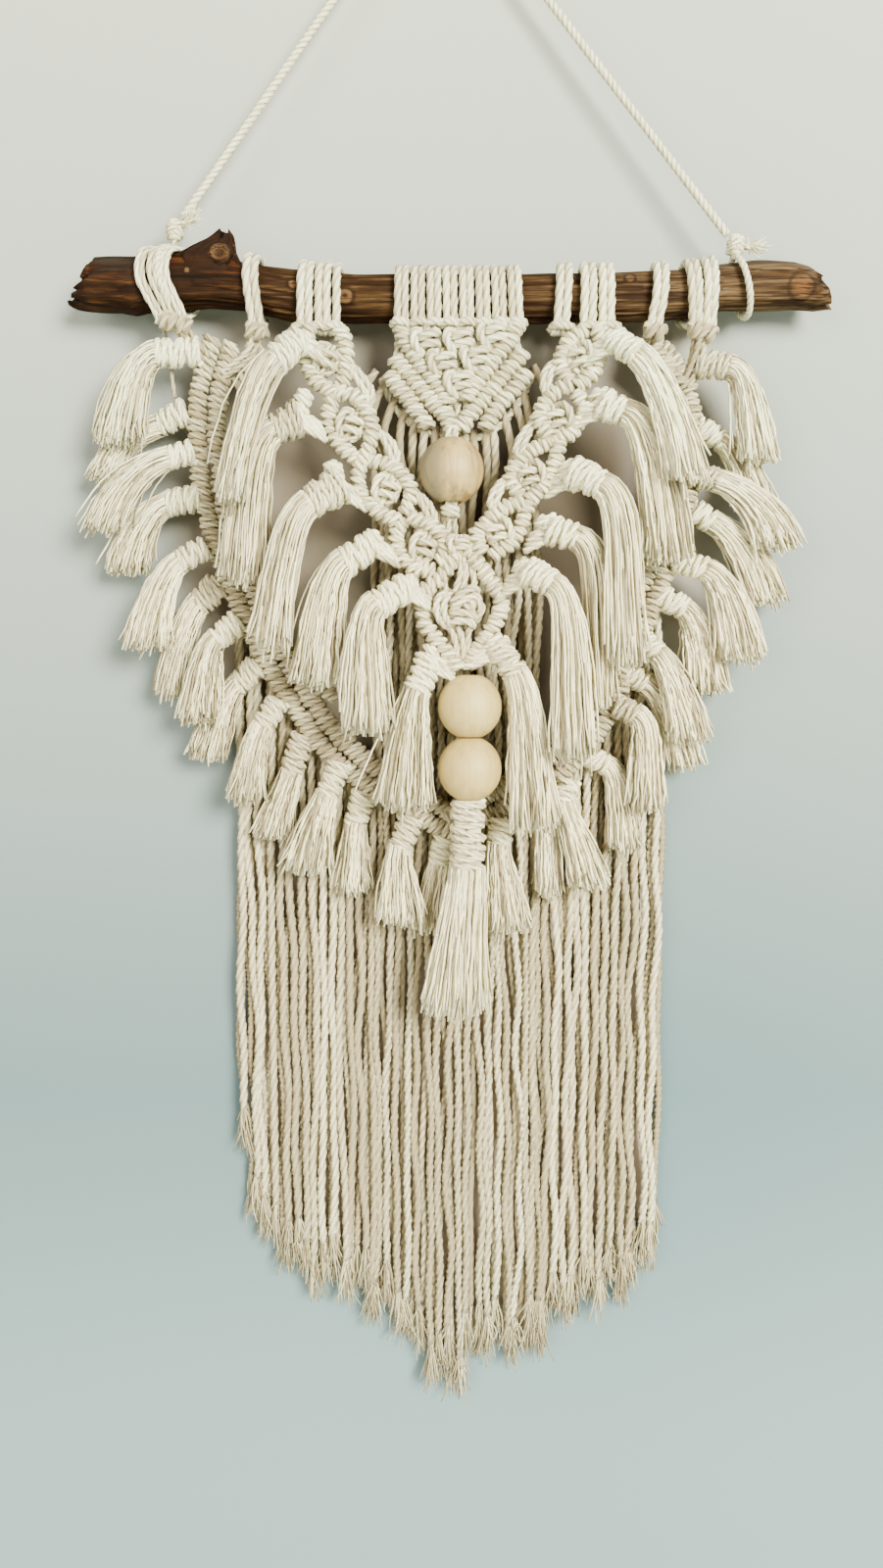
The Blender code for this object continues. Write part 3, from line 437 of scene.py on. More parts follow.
def smooth_noise(x, angle, seed, grain, ridges):
    """Ridges that run along x: a sum of sines of the angle whose phases drift slowly with x."""
    draw = np.random.default_rng(seed)
    total = np.zeros(np.broadcast(x, angle).shape)
    for k in range(ridges):
        turns, size = draw.integers(3, 26), draw.normal(0, 1.4)
        drift = size * np.sin(x / (grain * draw.uniform(0.5, 1.6)) + draw.uniform(0, 6.3))
        total += np.sin(turns * angle + drift + draw.uniform(0, 6.3)) / math.sqrt(ridges)
    return total


def branch_skin():
    """The radius of the branch at each place along and round it, with grain and lumps added. A
    scar adds a bell curve less a narrower one. Near an end the skin shrinks and its rings lean
    and tear, by exponentials of the distance from the end."""
    x = np.linspace(BRANCH[0].x, BRANCH[-1].x, BRANCH_STEPS)[:, None]
    angle = np.arange(BRANCH_AROUND)[None] * 2 * math.pi / BRANCH_AROUND
    centre, radius = branch_at(x)
    grain = smooth_noise(x, angle, 3, 38.0, 14)
    fine = smooth_noise(x, angle * 2, 5, 16.0, 12)
    lumps = np.sin(x / 21 + 1.3 * np.sin(angle)) + np.sin(x / 9.0 + 2 * angle)
    reach = radius - 0.75 + 0.42 * grain + 0.22 * fine + 0.3 * lumps
    for scar in SCARS:
        turn = np.radians(scar.angle)
        off = np.hypot(x - scar.x, radius * np.sin(angle - turn)) / scar.wide
        off = np.where(np.cos(angle - turn) > 0, off, 9)
        reach += scar.depth * (np.exp(-(off**2)) - 0.9 * np.exp(-((off / 0.45) ** 2)))
    left, right = x - BRANCH[0].x, BRANCH[-1].x - x
    torn = 1.6 * np.sin(5 * angle + 1) + 1.1 * np.sin(9 * angle) + 0.9 * np.sin(17 * angle + 2)
    reach *= 1 - 0.35 * np.exp(-left / 4) * (1 + 0.5 * np.sin(11 * angle))
    slant = 5.0 * np.sin(angle)
    left_end = np.exp(-left / 16) * (6.5 + 1.1 * slant + torn)
    right_end = np.exp(-right / 13) * (4.5 + 0.95 * slant + 0.7 * torn)
    up, forward = reach * np.sin(angle), reach * np.cos(angle)
    return np.stack([x + left_end - right_end, BRANCH_Y - forward, centre + up], -1)[None]


STUB_Y = -9.5
Stub = namedtuple("Stub", "z x wide deep")  # the side shoot's centre and half-sizes at each height
STUB = (
    Stub(-214, -111, 25, 10.0),
    Stub(-204, -112.5, 20.0, 10.4),
    Stub(-199, -114, 16.2, 10.0),
    Stub(-196.5, -111.5, 12.9, 9.4),
    Stub(-194, -109.5, 10.4, 8.4),
    Stub(-191.5, -106.5, 7.4, 6.8),
    Stub(-189, -105, 5.2, 5.0),
    Stub(-186.5, -104.5, 2.4, 2.8),
)


def stub_skin():
    """The broken shoot: a broad flared cone with a furrowed skin and a ragged, leaning end."""
    rise = np.linspace(0, 1, 40)[:, None]
    angle = np.arange(60)[None] * 2 * math.pi / 60
    heights, *columns = zip(*STUB)
    level = heights[0] + (heights[-1] - heights[0]) * rise
    middle, wide, deep = (np.interp(level, heights, column) for column in columns)
    furrow = smooth_noise(rise * 40, angle, 9, 9.0, 12)
    uneven = 1 + 0.07 * furrow + 0.05 * np.sin(2 * angle + 1) * rise
    ragged = 1.0 * np.sin(2 * angle + 0.6) + 1.3 * np.sin(5 * angle) + 0.8 * np.sin(9 * angle)
    x, y = middle + wide * uneven * np.cos(angle), STUB_Y + deep * uneven * np.sin(angle)
    return np.stack([x, y, level + rise**3 * ragged], -1)[None]


STUB_KNOT = (-105.0, -18.6, -199.0)


def knot_scar_skin():
    """The scar of a lost twig on the shoot: a low round boss with rings and a sunken heart."""
    out = np.linspace(0.02, 1, 22)[:, None]
    angle = np.arange(44)[None] * 2 * math.pi / 44
    radius = 6.4 * out * (1 + 0.05 * np.sin(3 * angle) + 0.04 * np.sin(7 * angle + 1))
    rim, rings = 2.4 * np.exp(-(((out - 0.62) / 0.26) ** 2)), 0.25 * np.sin(22 * out)
    height = rim - 1.2 * (1 - out) + rings - 2.5 * out**6
    x, y, z = radius * np.cos(angle), -height + 0 * angle, radius * np.sin(angle)
    return (np.array(STUB_KNOT) + np.stack([x, y + 0.25 * z, z], -1))[None]


END_PATCH = (179, -18, -214.5)  # where the bark has gone near the right end
TAN = (  # positions on a ramp, and the colours there
    (0.37, (0.012, 0.0048, 0.0012)),
    (0.5, (0.031, 0.0142, 0.0039)),
    (0.65, (0.092, 0.051, 0.0175)),
)
BLEACHED = (
    (0.37, (0.026, 0.0125, 0.0045)),
    (0.47, (0.083, 0.048, 0.019)),
    (0.60, (0.16, 0.105, 0.051)),
)
RED = (
    (0.37, (0.003, 0.001, 0.0003)),
    (0.5, (0.0105, 0.0032, 0.0007)),
    (0.65, (0.048, 0.0132, 0.0022)),
)
# The dark of cracks and scar rims, also used for painted shade in the hollows of the grain.
CRACK_AND_HOLLOW_SHADE = (0.012, 0.005, 0.002)


def driftwood_finish():
    """Bare weathered wood: brown grain drawn out along the branch, red-brown and scorched towards
    the left end, greyed on top towards the right. Each scar has a dark rim, pale wood within it
    and a dark pith, by the distance from its heart."""
    material, shade, shader = new_finish("driftwood", 0.8, 0.06)
    place = shade.node("ShaderNodeTexCoord", {}, "Object")
    grain = place.mapped(Scale=(9.0, 120.0, 120.0)).noise(2.2, 6.0, 0.65)
    fine = place.mapped(Scale=(10.0, 520.0, 520.0)).noise(2.0, 3.0)
    patch = place.noise(26.0, 4.0)
    x = place.axis(0)
    upward = shade.node("ShaderNodeNewGeometry", {}, "Normal").axis(2)
    tan, bleached, red = (grain.colours(stops) for stops in (TAN, BLEACHED, RED))
    underside = (upward + patch * 0.6 - 0.3).ease(0.25, -0.45)
    to_right = (x + patch * 0.04).ease(-0.085, -0.045)
    colour = shade.mix(to_right, shade.mix(underside * 0.34, red, tan), tan)
    weathered = (x + patch * 0.04).ease(0.06, 0.13)
    colour = shade.mix(weathered * 0.5, colour, bleached)
    on_top = (upward + patch * 0.5 - 0.25).ease(0.25, 0.8)
    far_right = (x + patch * 0.05).ease(0.12, 0.17)
    colour = shade.mix(on_top * far_right * 0.8, colour, (0.045, 0.040, 0.028))
    upper_half = (upward + patch * 0.5 - 0.25).ease(-0.05, 0.35)
    far_left = (x + patch * 0.03).ease(-0.115, -0.135)
    colour = shade.mix(upper_half * far_left * 0.75, colour, (0.022, 0.017, 0.011))
    near_end = place.distance(in_metres(END_PATCH)) + patch * 0.006
    colour = shade.mix(near_end.ease(0.0095, 0.005) * 0.75, colour, (0.12, 0.05, 0.016))
    bark_edge = abs(near_end - 0.0098).ramp(0.0014, 0.0004)
    colour = shade.mix(bark_edge * 0.7, colour, (0.022, 0.010, 0.004))
    # Painted shade in the hollows of the grain, where the skin lies below its ring's mean radius.
    hollow_shade = shade.node("ShaderNodeAttribute", {}, "Fac", attribute_name="tone_and_shade")
    colour = shade.mix(hollow_shade.ramp(0.02, -0.3) * 0.7, colour, CRACK_AND_HOLLOW_SHADE)
    hearts = [(STUB_KNOT, 5.4)]
    for scar in SCARS:
        centre, radius = branch_at(scar.x)
        turn = math.radians(scar.angle)
        forward, up = radius * math.cos(turn), radius * math.sin(turn)
        hearts.append(((scar.x, BRANCH_Y - forward, centre + up), scar.wide))
    for heart, wide in hearts:
        away = place.distance(in_metres(heart)) + grain * 0.002
        edge = wide * 0.001
        colour = shade.mix(away.ease(edge * 1.9, edge * 1.2) * 0.85, colour, CRACK_AND_HOLLOW_SHADE)
        colour = shade.mix(away.ease(edge * 1.25, edge * 0.9) * 0.8, colour, (0.105, 0.054, 0.021))
        colour = shade.mix(away.ease(edge * 0.75, edge * 0.4) * 0.8, colour, (0.010, 0.004, 0.0015))
    colour = shade.mix((1 - fine.ease(0.40, 0.48)) * 0.85, colour, CRACK_AND_HOLLOW_SHADE)
    bump = (grain * 0.6 + fine * 0.5).bump(0.9, 0.0012)
    feed(shader, Base_Color=colour, Normal=bump, Roughness=patch.ramp(0.0, 1.0, 0.6, 0.88))
    return material


branch_skins = [branch_skin(), stub_skin(), knot_scar_skin()]
branch_mesh = knitted_mesh("branch", branch_skins, spread=0)
make_piece("branch_weathered", branch_mesh, driftwood_finish(), "driftwood", "branch")

# --- Rope ends --------------------------------------------------------------
# The hanger rope is tied round the branch at each end. The knot's last turns, its frayed tail and
# the slanting loop that grips the wood are the rope itself.

RopeEnd = namedtuple("RopeEnd", "side knot top_x foot_x bow tail")
ROPE_ENDS = (
    RopeEnd("left", KNOT_LEFT, -129.5, -126.0, -6.0, (-121, -12, -181)),
    RopeEnd("right", KNOT_RIGHT, 147.5, 155, 0.0, (160, -11, -194)),
)


def branch_ring(top_x, foot_x, bow, clearance):
    """A closed loop round the branch, over the top at one x and under it at another."""
    turn = np.linspace(0, 2 * math.pi, 49) + math.pi / 2
    x = top_x + (foot_x - top_x) * (1 - np.sin(turn)) / 2 + bow * np.clip(-np.cos(turn), 0, 1)
    centre, radius = branch_at(x)
    hold = radius + clearance
    return np.stack([x, BRANCH_Y + hold * np.cos(turn), centre + hold * np.sin(turn)], 1)


def frayed_tuft(foot, towards, length, spread, count, radius):
    """Loose yarns that leave one point and splay as they go: each runs evenly towards its end,
    and leans aside as the power 1.5 of the way there."""
    t = np.linspace(0, 1, 6)[None, :, None]
    start = np.asarray(foot) + rng.normal(0, 0.5, (count, 1, 3))
    lean = rng.normal(0, 1, (count, 1, 3)) * spread
    reach = np.asarray(towards) * length * rng.uniform(0.7, 1.1, (count, 1, 1))
    return plain_skin(start + reach * t + lean * t**1.5, radius * np.linspace(1, 0.7, 6), 4)


for end in ROPE_ENDS:
    x, y, z = end.knot
    outwards = unit(np.array(end.tail, float) - end.knot)
    turns = np.linspace(0, 2 * math.pi * 2.2, 40)
    height = z + 2.2 - turns * 0.36
    knot_path = np.stack([x + 2.9 * np.cos(turns), y + 2.6 * np.sin(turns), height], 1)
    crossing = end.knot + np.array([(-3, 2, -3), (-1.5, -3.4, -1), (2, -3.2, 2), (3, 1, 3.5)])
    crossing = curve_through(crossing, step=1.6)
    loop = branch_ring(end.top_x, end.foot_x, end.bow, 0.7 + CORD * 0.42)
    halfway = (x + (end.top_x - x) * 0.6, y + 1, z - 6)
    leg = curve_through([(x, y, z - 2), halfway, loop[0] + np.array([0, 0, 1.0])], step=1.6)
    skins = [rope_skin(path, CORD * 0.43, pitch=10) for path in (knot_path, crossing, loop, leg)]
    skins.append(plain_skin(np.linspace((x, y, z + 4.5), (x, y, z - 4.5), 6), 3.0, 10))
    skins.append(rope_skin(np.linspace(end.knot, end.knot + outwards * 7, 6), CORD * 0.4))
    foot = end.knot + outwards * 5
    skins.append(frayed_tuft(foot, outwards, length=8.0, spread=2.2, count=60, radius=0.35))
    mesh = knitted_mesh(f"rope_end_{end.side}", skins)
    make_piece(f"rope_end_{end.side}", mesh, COTTON, "cotton_cord", f"hanger_knot_{end.side}")

# --- Centre panel -----------------------------------------------------------
# Sixteen cords looped over the branch, a row of tight hitches, six square knots and three bars of
# double half hitches on each side that meet above the upper bead.

PANEL_Y = -23.0
HITCH_STEPS = 15


def loops_over_branch(tops, feet, cords, foot_z, foot_y, bow=0.0, late=1.0):
    """Cords side by side, up behind the branch, over it and down its front to the heading. The
    row spans `tops` on the branch and `feet` below it. The front of the loop strays sideways by
    `bow` at its middle, and moves from its top's place to its foot's as the power `late` of the
    way down."""
    top_span, foot_span = tops[1] - tops[0], feet[1] - feet[0]
    radius = max(top_span, foot_span) / cords * 0.5
    sweep = np.radians(np.array([222, 195, 165, 135, 105, 75, 45, 15, -15]))
    down = np.linspace(-0.1, 0.8, len(sweep))
    stray = bow * np.sin(math.pi * np.clip((down - 0.3) / 0.75, 0, 1))
    paths = []
    for number, cord in enumerate((np.arange(cords) + 0.5) / cords):
        paired = 0.22 - 0.44 * (number % 2)
        top = tops[0] + top_span * cord + paired + rng.normal(0, 0.15)
        foot = feet[0] + foot_span * cord + paired
        x = top + (foot - top) * np.maximum(down, 0) ** late + stray
        centre, wood = branch_at(x)
        hold = wood + radius + 0.2 + rng.uniform(0, 0.3)
        ring = np.stack([x, BRANCH_Y - hold * np.cos(sweep), centre + hold * np.sin(sweep)], 1)
        front = [(foot, foot_y + 0.5, foot_z + 1.5), (foot, foot_y + 1.5, foot_z - 2.5)]
        behind = [(foot, -3.0, foot_z + 4)]
        paths.append(curve_through(np.vstack([behind, ring, front]), count=62))
    return rope_skin(np.array(paths), radius, pitch=23.0, groove=0.88)


def hitch_row(points, half_width, half_depth, pitch, lean=0.25, cord=None, lumps=0.0):
    """A bar of double half hitches over a plain core. Each hitch is two turns of cord close
    together, and a turn is an ellipse across the bar that leans along it. The bar swells and
    shrinks by `lumps` about every 13 mm."""
    path = curve_through(points, step=0.5)
    along = lengths_along(path)
    count = 2 * max(1, int(round(along[-1] / pitch / 2)))
    turns = np.arange(count)
    at = (turns + 0.5 + np.where(turns % 2, -0.04, 0.04)) * along[-1] / count
    centre = np.stack([np.interp(at, along, path[:, k]) for k in range(3)], 1)
    run = unit(np.gradient(path, axis=0))
    run = unit(np.stack([np.interp(at, along, run[:, k]) for k in range(3)], 1))
    radius = cord or pitch * 0.52
    shared = np.repeat(rng.normal(0, 1, (count // 2, 3)), 2, axis=0)
    across = unit(np.cross(run, (0.0, 1.0, 0.0)))
    centre = centre + across * shared[:, :1] * half_width * 0.05
    across = across + (lean + 0.07 * shared[:, 1:2] + rng.normal(0, 0.04, (count, 1))) * run
    swell = 1 + 0.04 * shared[:, 2] + rng.normal(0, 0.02, count) + lumps * np.sin(at / 2.1)
    swell = swell[:, None, None]
    turn = np.linspace(0.05, 2 * math.pi - 0.05, HITCH_STEPS)
    wide = (half_width - radius * 0.85) * np.sin(turn)[None, :, None] * swell
    deep = (half_depth - radius * 0.85) * np.cos(turn)[None, :, None] * swell
    rings = centre[:, None] + wide * across[:, None] + deep * np.array([0.0, 1.0, 0.0])
    sparse = path[::6] if len(path) > 18 else path
    core = plain_skin(sparse, min(half_width, half_depth) - radius, 8)
    return [rope_skin(rings, radius, pitch=18.0, groove=0.84), core]


def laid_strand(x, y, z, size, strand, turn, face, radius, count=13):
    """A strand of a knot from its points as shares of the knot's half-width, depth and
    half-height, mirrored by `face`, turned in the wall's plane and put at the knot's place."""
    a, b, c = np.array(strand).T * np.array(size)[:, None]
    a = a * face
    cos, sin = math.cos(turn), math.sin(turn)
    path = np.stack([x + a * cos - c * sin, y + b, z + a * sin + c * cos], 1)
    return rope_skin(curve_through(path, count=count), radius, pitch=17.0, groove=0.84)


def square_knot(x, y, z, width, height, depth, turn=0.0, face=1, radius=2.1):
    """A square knot of single cords: a bump that stands up at one side, an upper and a lower bar
    across the front beside it, and two filling cords that run through."""
    bump = [(-0.35, 0.3, 1.0), (-0.66, -0.85, 0.62), (-0.72, -1.15, 0.0)]
    bump += [(-0.52, -0.95, -0.6), (-0.1, 0.2, -0.95)]
    upper = [(-0.5, 0.1, 0.1), (-0.1, -0.85, 0.28), (0.4, -0.95, 0.42)]
    upper += [(0.85, -0.55, 0.5), (1.0, 0.4, 0.35)]
    lower = [(-0.5, 0.1, -0.5), (-0.05, -0.85, -0.36), (0.4, -0.95, -0.28)]
    lower += [(0.85, -0.55, -0.26), (1.0, 0.4, -0.4)]
    side = [(0.5, 0.4, 0.95), (0.9, -0.15, 0.75), (0.98, 0.1, 0.1)]
    side += [(0.9, 0.1, -0.5), (0.5, 0.4, -0.95)]
    fill_right = [(0.22, 0.0, 1.15), (0.25, 0.15, 0.3), (0.25, 0.15, -0.3), (0.25, -0.1, -1.15)]
    fill_left = [(-0.25, 0.0, 1.15), (-0.2, 0.15, 0.3), (-0.2, 0.15, -0.3), (-0.25, -0.1, -1.15)]
    size = (width / 2, depth, height / 2)
    strands = [(bump, 1.12), (upper, 1.04), (lower, 1.04)]
    strands += [(side, 0.95), (fill_right, 0.95), (fill_left, 0.95)]
    return [
        laid_strand(x, y, z, size, strand, turn, face, radius * thick) for strand, thick in strands
    ]


def larks_heads(left, right, pairs, y, z, radius):
    """A row of loops laid across the front, one for each pair of cords over the branch. Each is a
    shallow arch that stands out at its middle and leans by a random lift."""
    skins = []
    for x in left + (np.arange(pairs) + 0.5) * (right - left) / pairs:
        half = (right - left) / pairs * 0.5
        lift = rng.uniform(-0.8, 0.8)
        path = [(x - half, y + 3.5, z + lift - 1), (x - half * 0.75, y - 0.6, z + lift)]
        path += [(x, y - 1.8, z - lift * 0.3 + 0.4), (x + half * 0.75, y - 0.8, z - lift * 0.6)]
        path.append((x + half, y + 3.5, z - lift))
        skins.append(rope_skin(curve_through(path, count=11), radius, pitch=9))
    return skins


PANEL_BARS = (
    ((-17, -236), (-15, -242), (-9.5, -250), (-3, -258), (3, -266), (7, -272.5)),
    ((-20.5, -250), (-13, -258), (-5.5, -266.5), (1.5, -274), (6.5, -280), (9.5, -285.5)),
    ((-23.5, -257.5), (-18.5, -263.5), (-12.5, -270.5), (-7.5, -277), (-3.5, -284)),
    ((41, -234), (37, -240), (31.5, -247), (25.5, -255), (19, -263), (14.5, -271)),
    ((43, -247), (38, -253), (32, -260), (26, -267), (20.5, -273), (15, -280), (11.5, -284.5)),
    ((45, -256.5), (40, -262.5), (33, -270.5), (27.5, -277.5), (24, -284.5)),
)
PANEL_KNOTS = ((-5, -243), (11, -242.5), (27, -240), (3, -253), (19, -250.5), (11, -262.5))
BEAD_UPPER = np.array([8.0, -28.0, -305.0])


def at_depth(points, y):
    """Points in the wall's plane, as (x, z), put at the depth y."""
    return [(x, y, z) for x, z in points]


skins = [loops_over_branch((-19.3, 40.5), (-20.5, 43.5), 16, -233, PANEL_Y + 3.0)]
skins += larks_heads(-20.5, 43.5, 8, PANEL_Y - 1.5, -234.0, 2.1)
for number, bar in enumerate(PANEL_BARS):
    side = 1 if number < 3 else -1
    path = at_depth(bar, PANEL_Y + (number % 3) * 0.3)
    skins += hitch_row(path, half_width=4.5, half_depth=4.8, pitch=3.35, lean=0.3 * side)
for x, z in PANEL_KNOTS:
    skins += square_knot(x, PANEL_Y - 0.3, z, 14.5, 12.5, 4.2, turn=0.1, radius=2.15)
for across in np.linspace(-0.92, 0.92, 13):
    warp = [(11 + 31 * across, -19.0, -238), (11 + 32 * across, -19.0, -255)]
    warp.append((11 + 24 * across, -20.0, -286 + 24 * abs(across)))
    skins.append(rope_skin(curve_through(warp, step=2.4), 2.1))
x, y, z = BEAD_UPPER
for offset in (-1.6, 1.6):
    core = [(9 + offset, -23, -283)] + [(x + offset, y, z + lift) for lift in (17, 0, -17)]
    skins.append(rope_skin(curve_through(core, step=2), 1.9))
    tail = [(x + offset * 0.6, y + 1, z - 20), (x + offset, -23.5, z - 26)]
    tail.append((x + offset * 1.4, -21, z - 33))
    skins.append(rope_skin(curve_through(tail, step=2), 1.7))
knot_under_bead = [(x - 0.5, y + 1, z - 16.6), (x - 0.5, y + 1, z - 22)]
skins += hitch_row(knot_under_bead, half_width=4.9, half_depth=4.4, pitch=2.7, lean=0.05, cord=1.9)
# The panel's cords get a little painted shade through their tone.
cotton_piece("centre_panel_knotted", skins, "centre_panel", [-0.25] * len(skins))

# --- Wooden beads -----------------------------------------------------------
# Three turned beads, sanded and left bare, drilled through for the cords. The upper one shows its
# grain, the lower two are paler and smoother.

BEAD_RADIUS = 15.6
BEAD_HALF_HEIGHT = 15.2
BORE_RADIUS = 4.4
BEAD_MIDDLE = np.array([17.0, -29.0, -418.9])
BEAD_LOWER = BEAD_MIDDLE - np.array([0, 0, 2 * BEAD_HALF_HEIGHT + 0.3])
BEAD_AROUND = 72


def bead_skin(centre):
    """A closed profile, the round outside and the bore with a softened edge, turned once round."""
    edge = math.asin((BORE_RADIUS + 0.9) / BEAD_RADIUS)
    polar = np.linspace(edge, math.pi - edge, 34)
    lift = BEAD_HALF_HEIGHT / (BEAD_RADIUS * math.cos(edge))
    radii = np.concatenate([BEAD_RADIUS * np.sin(polar), BORE_RADIUS + np.array([0.3, 0, 0, 0.3])])
    drop = BEAD_HALF_HEIGHT - np.array([0.25, 1.0])
    heights = np.concatenate([BEAD_RADIUS * np.cos(polar) * lift, -drop, drop[::-1]])
    turn = np.linspace(0, 2 * math.pi, BEAD_AROUND + 1)[:, None]
    heights = np.broadcast_to(heights, (len(turn), len(radii)))
    return (centre + np.stack([radii * np.cos(turn), radii * np.sin(turn), heights], -1))[None]


def bead_mesh(name, centre):
    """The bead's skin with the first and last profiles joined, so that no seam is left."""
    mesh = knitted_mesh(name, [bead_skin(centre)])
    made = bmesh.new()
    made.from_mesh(mesh)
    wide = [face for face in made.faces if len(face.verts) > 4]
    bmesh.ops.delete(made, geom=wide, context="FACES")
    bmesh.ops.remove_doubles(made, verts=made.verts, dist=1e-6)
    bmesh.ops.recalc_face_normals(made, faces=made.faces)
    made.to_mesh(mesh)
    made.free()
    return mesh


Bead = namedtuple("Bead", "name centre pale dark figure stain")
BEADS = (
    Bead("upper", BEAD_UPPER, (0.40, 0.285, 0.10), (0.205, 0.13, 0.045), 1.0, 1.0),
    Bead("middle", BEAD_MIDDLE, (0.485, 0.365, 0.125), (0.38, 0.26, 0.083), 0.8, 0.0),
    Bead("lower", BEAD_LOWER, (0.46, 0.335, 0.108), (0.37, 0.245, 0.075), 0.8, 0.0),
)
# Grey painted on a bead's left side: shade, with grey marks in the grain.
BEAD_GREY_SHADE = (0.14, 0.117, 0.066)


def bead_finish(bead):
    """Bare pale wood: growth rings round a tilted axis, cut by the sphere, and fine pores. The
    rings show by `figure`. The left side is darkened grey in streaks by the bead's share for it:
    painted shade on the side away from the light, with grey marks in the grain."""
    material, shade, shader = new_finish(f"bead_wood_{bead.name}", 0.5, 0.35)
    x, y, z = in_metres(bead.centre)
    local = shade.node("ShaderNodeTexCoord", {}, "Object").mapped(Location=(-x - 0.012, -y, -z))
    turned = local.mapped(Rotation=(0.12, 0.2, 0.3), Scale=(1.0, 1.0, 0.12))
    rings, broad = turned.noise(300.0, 4.0, 0.6), turned.noise(90.0, 2.0)
    pores = local.mapped(Scale=(1.0, 1.0, 0.05)).noise(1600.0, 1.0)
    share = (rings * 0.6 + broad * 0.4).ramp(0.42, 0.58) * bead.figure
    left_grey_shade = (local.axis(0) + broad * 0.008).ease(-0.010, -0.016)
    streaks = 0.35 + 0.65 * rings.ramp(0.62, 0.42)
    colour = shade.mix(share, bead.pale, bead.dark)
    # Painted shade on the left side, grey in streaks like marks in the grain.
    colour = shade.mix(left_grey_shade * streaks * bead.stain, colour, BEAD_GREY_SHADE)
    feed(shader, Base_Color=colour, Normal=pores.bump(0.15, 0.0002))
    return material


for bead in BEADS:
    node = f"bead_{bead.name}"
    make_piece(f"{node}_turned", bead_mesh(node, bead.centre), bead_finish(bead), "bead_wood", node)

# --- Front band -------------------------------------------------------------
# A V of small cells, four a side: hitched borders round a square knot, with a cord left slack on
# the inner side. The two arms join above a diamond whose core cords carry the lower beads.

FRONT_Y = -29.0
FRONT_HEADING_Z = -236
FRONT_PITCH = 3.5
FRONT_HALF = 4.1
FRONT_DEEP = 4.6
Cell = namedtuple("Cell", "outer inner knot slack")
FRONT_CELLS = (
    Cell(
        ((-60, -237), (-62.5, -246), (-61.5, -256.5), (-56.5, -263.5), (-48, -269)),
        ((-46.5, -238), (-43, -246), (-42.5, -256), (-44.5, -263.5), (-49.5, -270)),
        (-53, -252.5),
        ((-43, -252), (-35.5, -260), (-30, -269), (-33, -275)),
    ),
    Cell(
        ((-48.5, -268), (-51, -276.5), (-50, -286.5), (-44, -295), (-34.5, -301.5)),
        ((-47, -268), (-37, -271.5), (-31.5, -280), (-30.5, -289.5), (-34.5, -299.5)),
        (-41.5, -283.5),
        ((-28, -285.5), (-21, -291.5), (-18, -299.5), (-21, -305)),
    ),
    Cell(
        ((-34.5, -299), (-37.5, -308.5), (-35.5, -317), (-28.5, -324.5), (-18, -330)),
        ((-33, -300), (-22, -302.5), (-14.5, -308.5), (-11.5, -316.5), (-15, -326.5)),
        (-24.5, -314),
        ((-10.5, -314), (-3.5, -320.5), (0, -328.5), (-3, -333)),
    ),
    Cell(
        ((-15.5, -327.5), (-19, -337), (-16, -346), (-9.5, -352.5), (0, -353)),
        ((-13, -327), (-3, -331), (4, -337.5), (5, -343.5), (1.5, -350)),
        (-6.5, -341.5),
        (),
    ),
    Cell(
        ((77, -237), (80, -245), (79, -253), (75.5, -260), (67, -266)),
        ((72.5, -238.5), (66, -242.5), (61.5, -248.5), (60, -255.5), (64.5, -264)),
        (70.5, -251.5),
        ((59, -252), (53, -258), (52, -266), (55, -273)),
    ),
    Cell(
        ((68, -267), (71, -274.5), (69.5, -281), (66, -287), (56.5, -292.5)),
        ((66, -265), (57, -268.5), (51.5, -274.5), (50, -281), (55, -290)),
        (60.5, -280.5),
        ((48, -281), (42, -288), (39, -295), (41, -300)),
    ),
    Cell(
        ((59.5, -291), (58.5, -297.5), (56.5, -304), (54, -311), (45.5, -320)),
        ((57, -291), (46, -295.5), (39, -302.5), (36.5, -309.5), (41, -318.5)),
        (47.5, -307.5),
        ((34.5, -308), (29, -314), (26.5, -321), (29, -326)),
    ),
    Cell(
        ((46, -319), (43.5, -326), (41, -333), (37, -339.5), (27, -346.5)),
        ((43, -319.5), (32, -324), (23.5, -330.5), (20, -337.5), (23, -345.5)),
        (32, -334.5),
        (),
    ),
)
DIAMOND = (
    ((10.5, -340.5), (8, -348), (2.5, -356), (-4.5, -362.5), (-6.5, -371)),
    ((-6.5, -369), (-5, -378.5), (1, -386.5), (7, -394.5), (12.5, -401)),
    ((12.5, -339), (19, -347.5), (25.5, -356), (31, -364), (32.5, -372)),
    ((32.5, -370), (30, -377.5), (25, -385), (19.5, -392.5), (16.5, -401)),
)
DIAMOND_KNOT = (11.0, -371.5)
DIAMOND_KNOT_SIZE = (9.5, 5.5, 8.5)
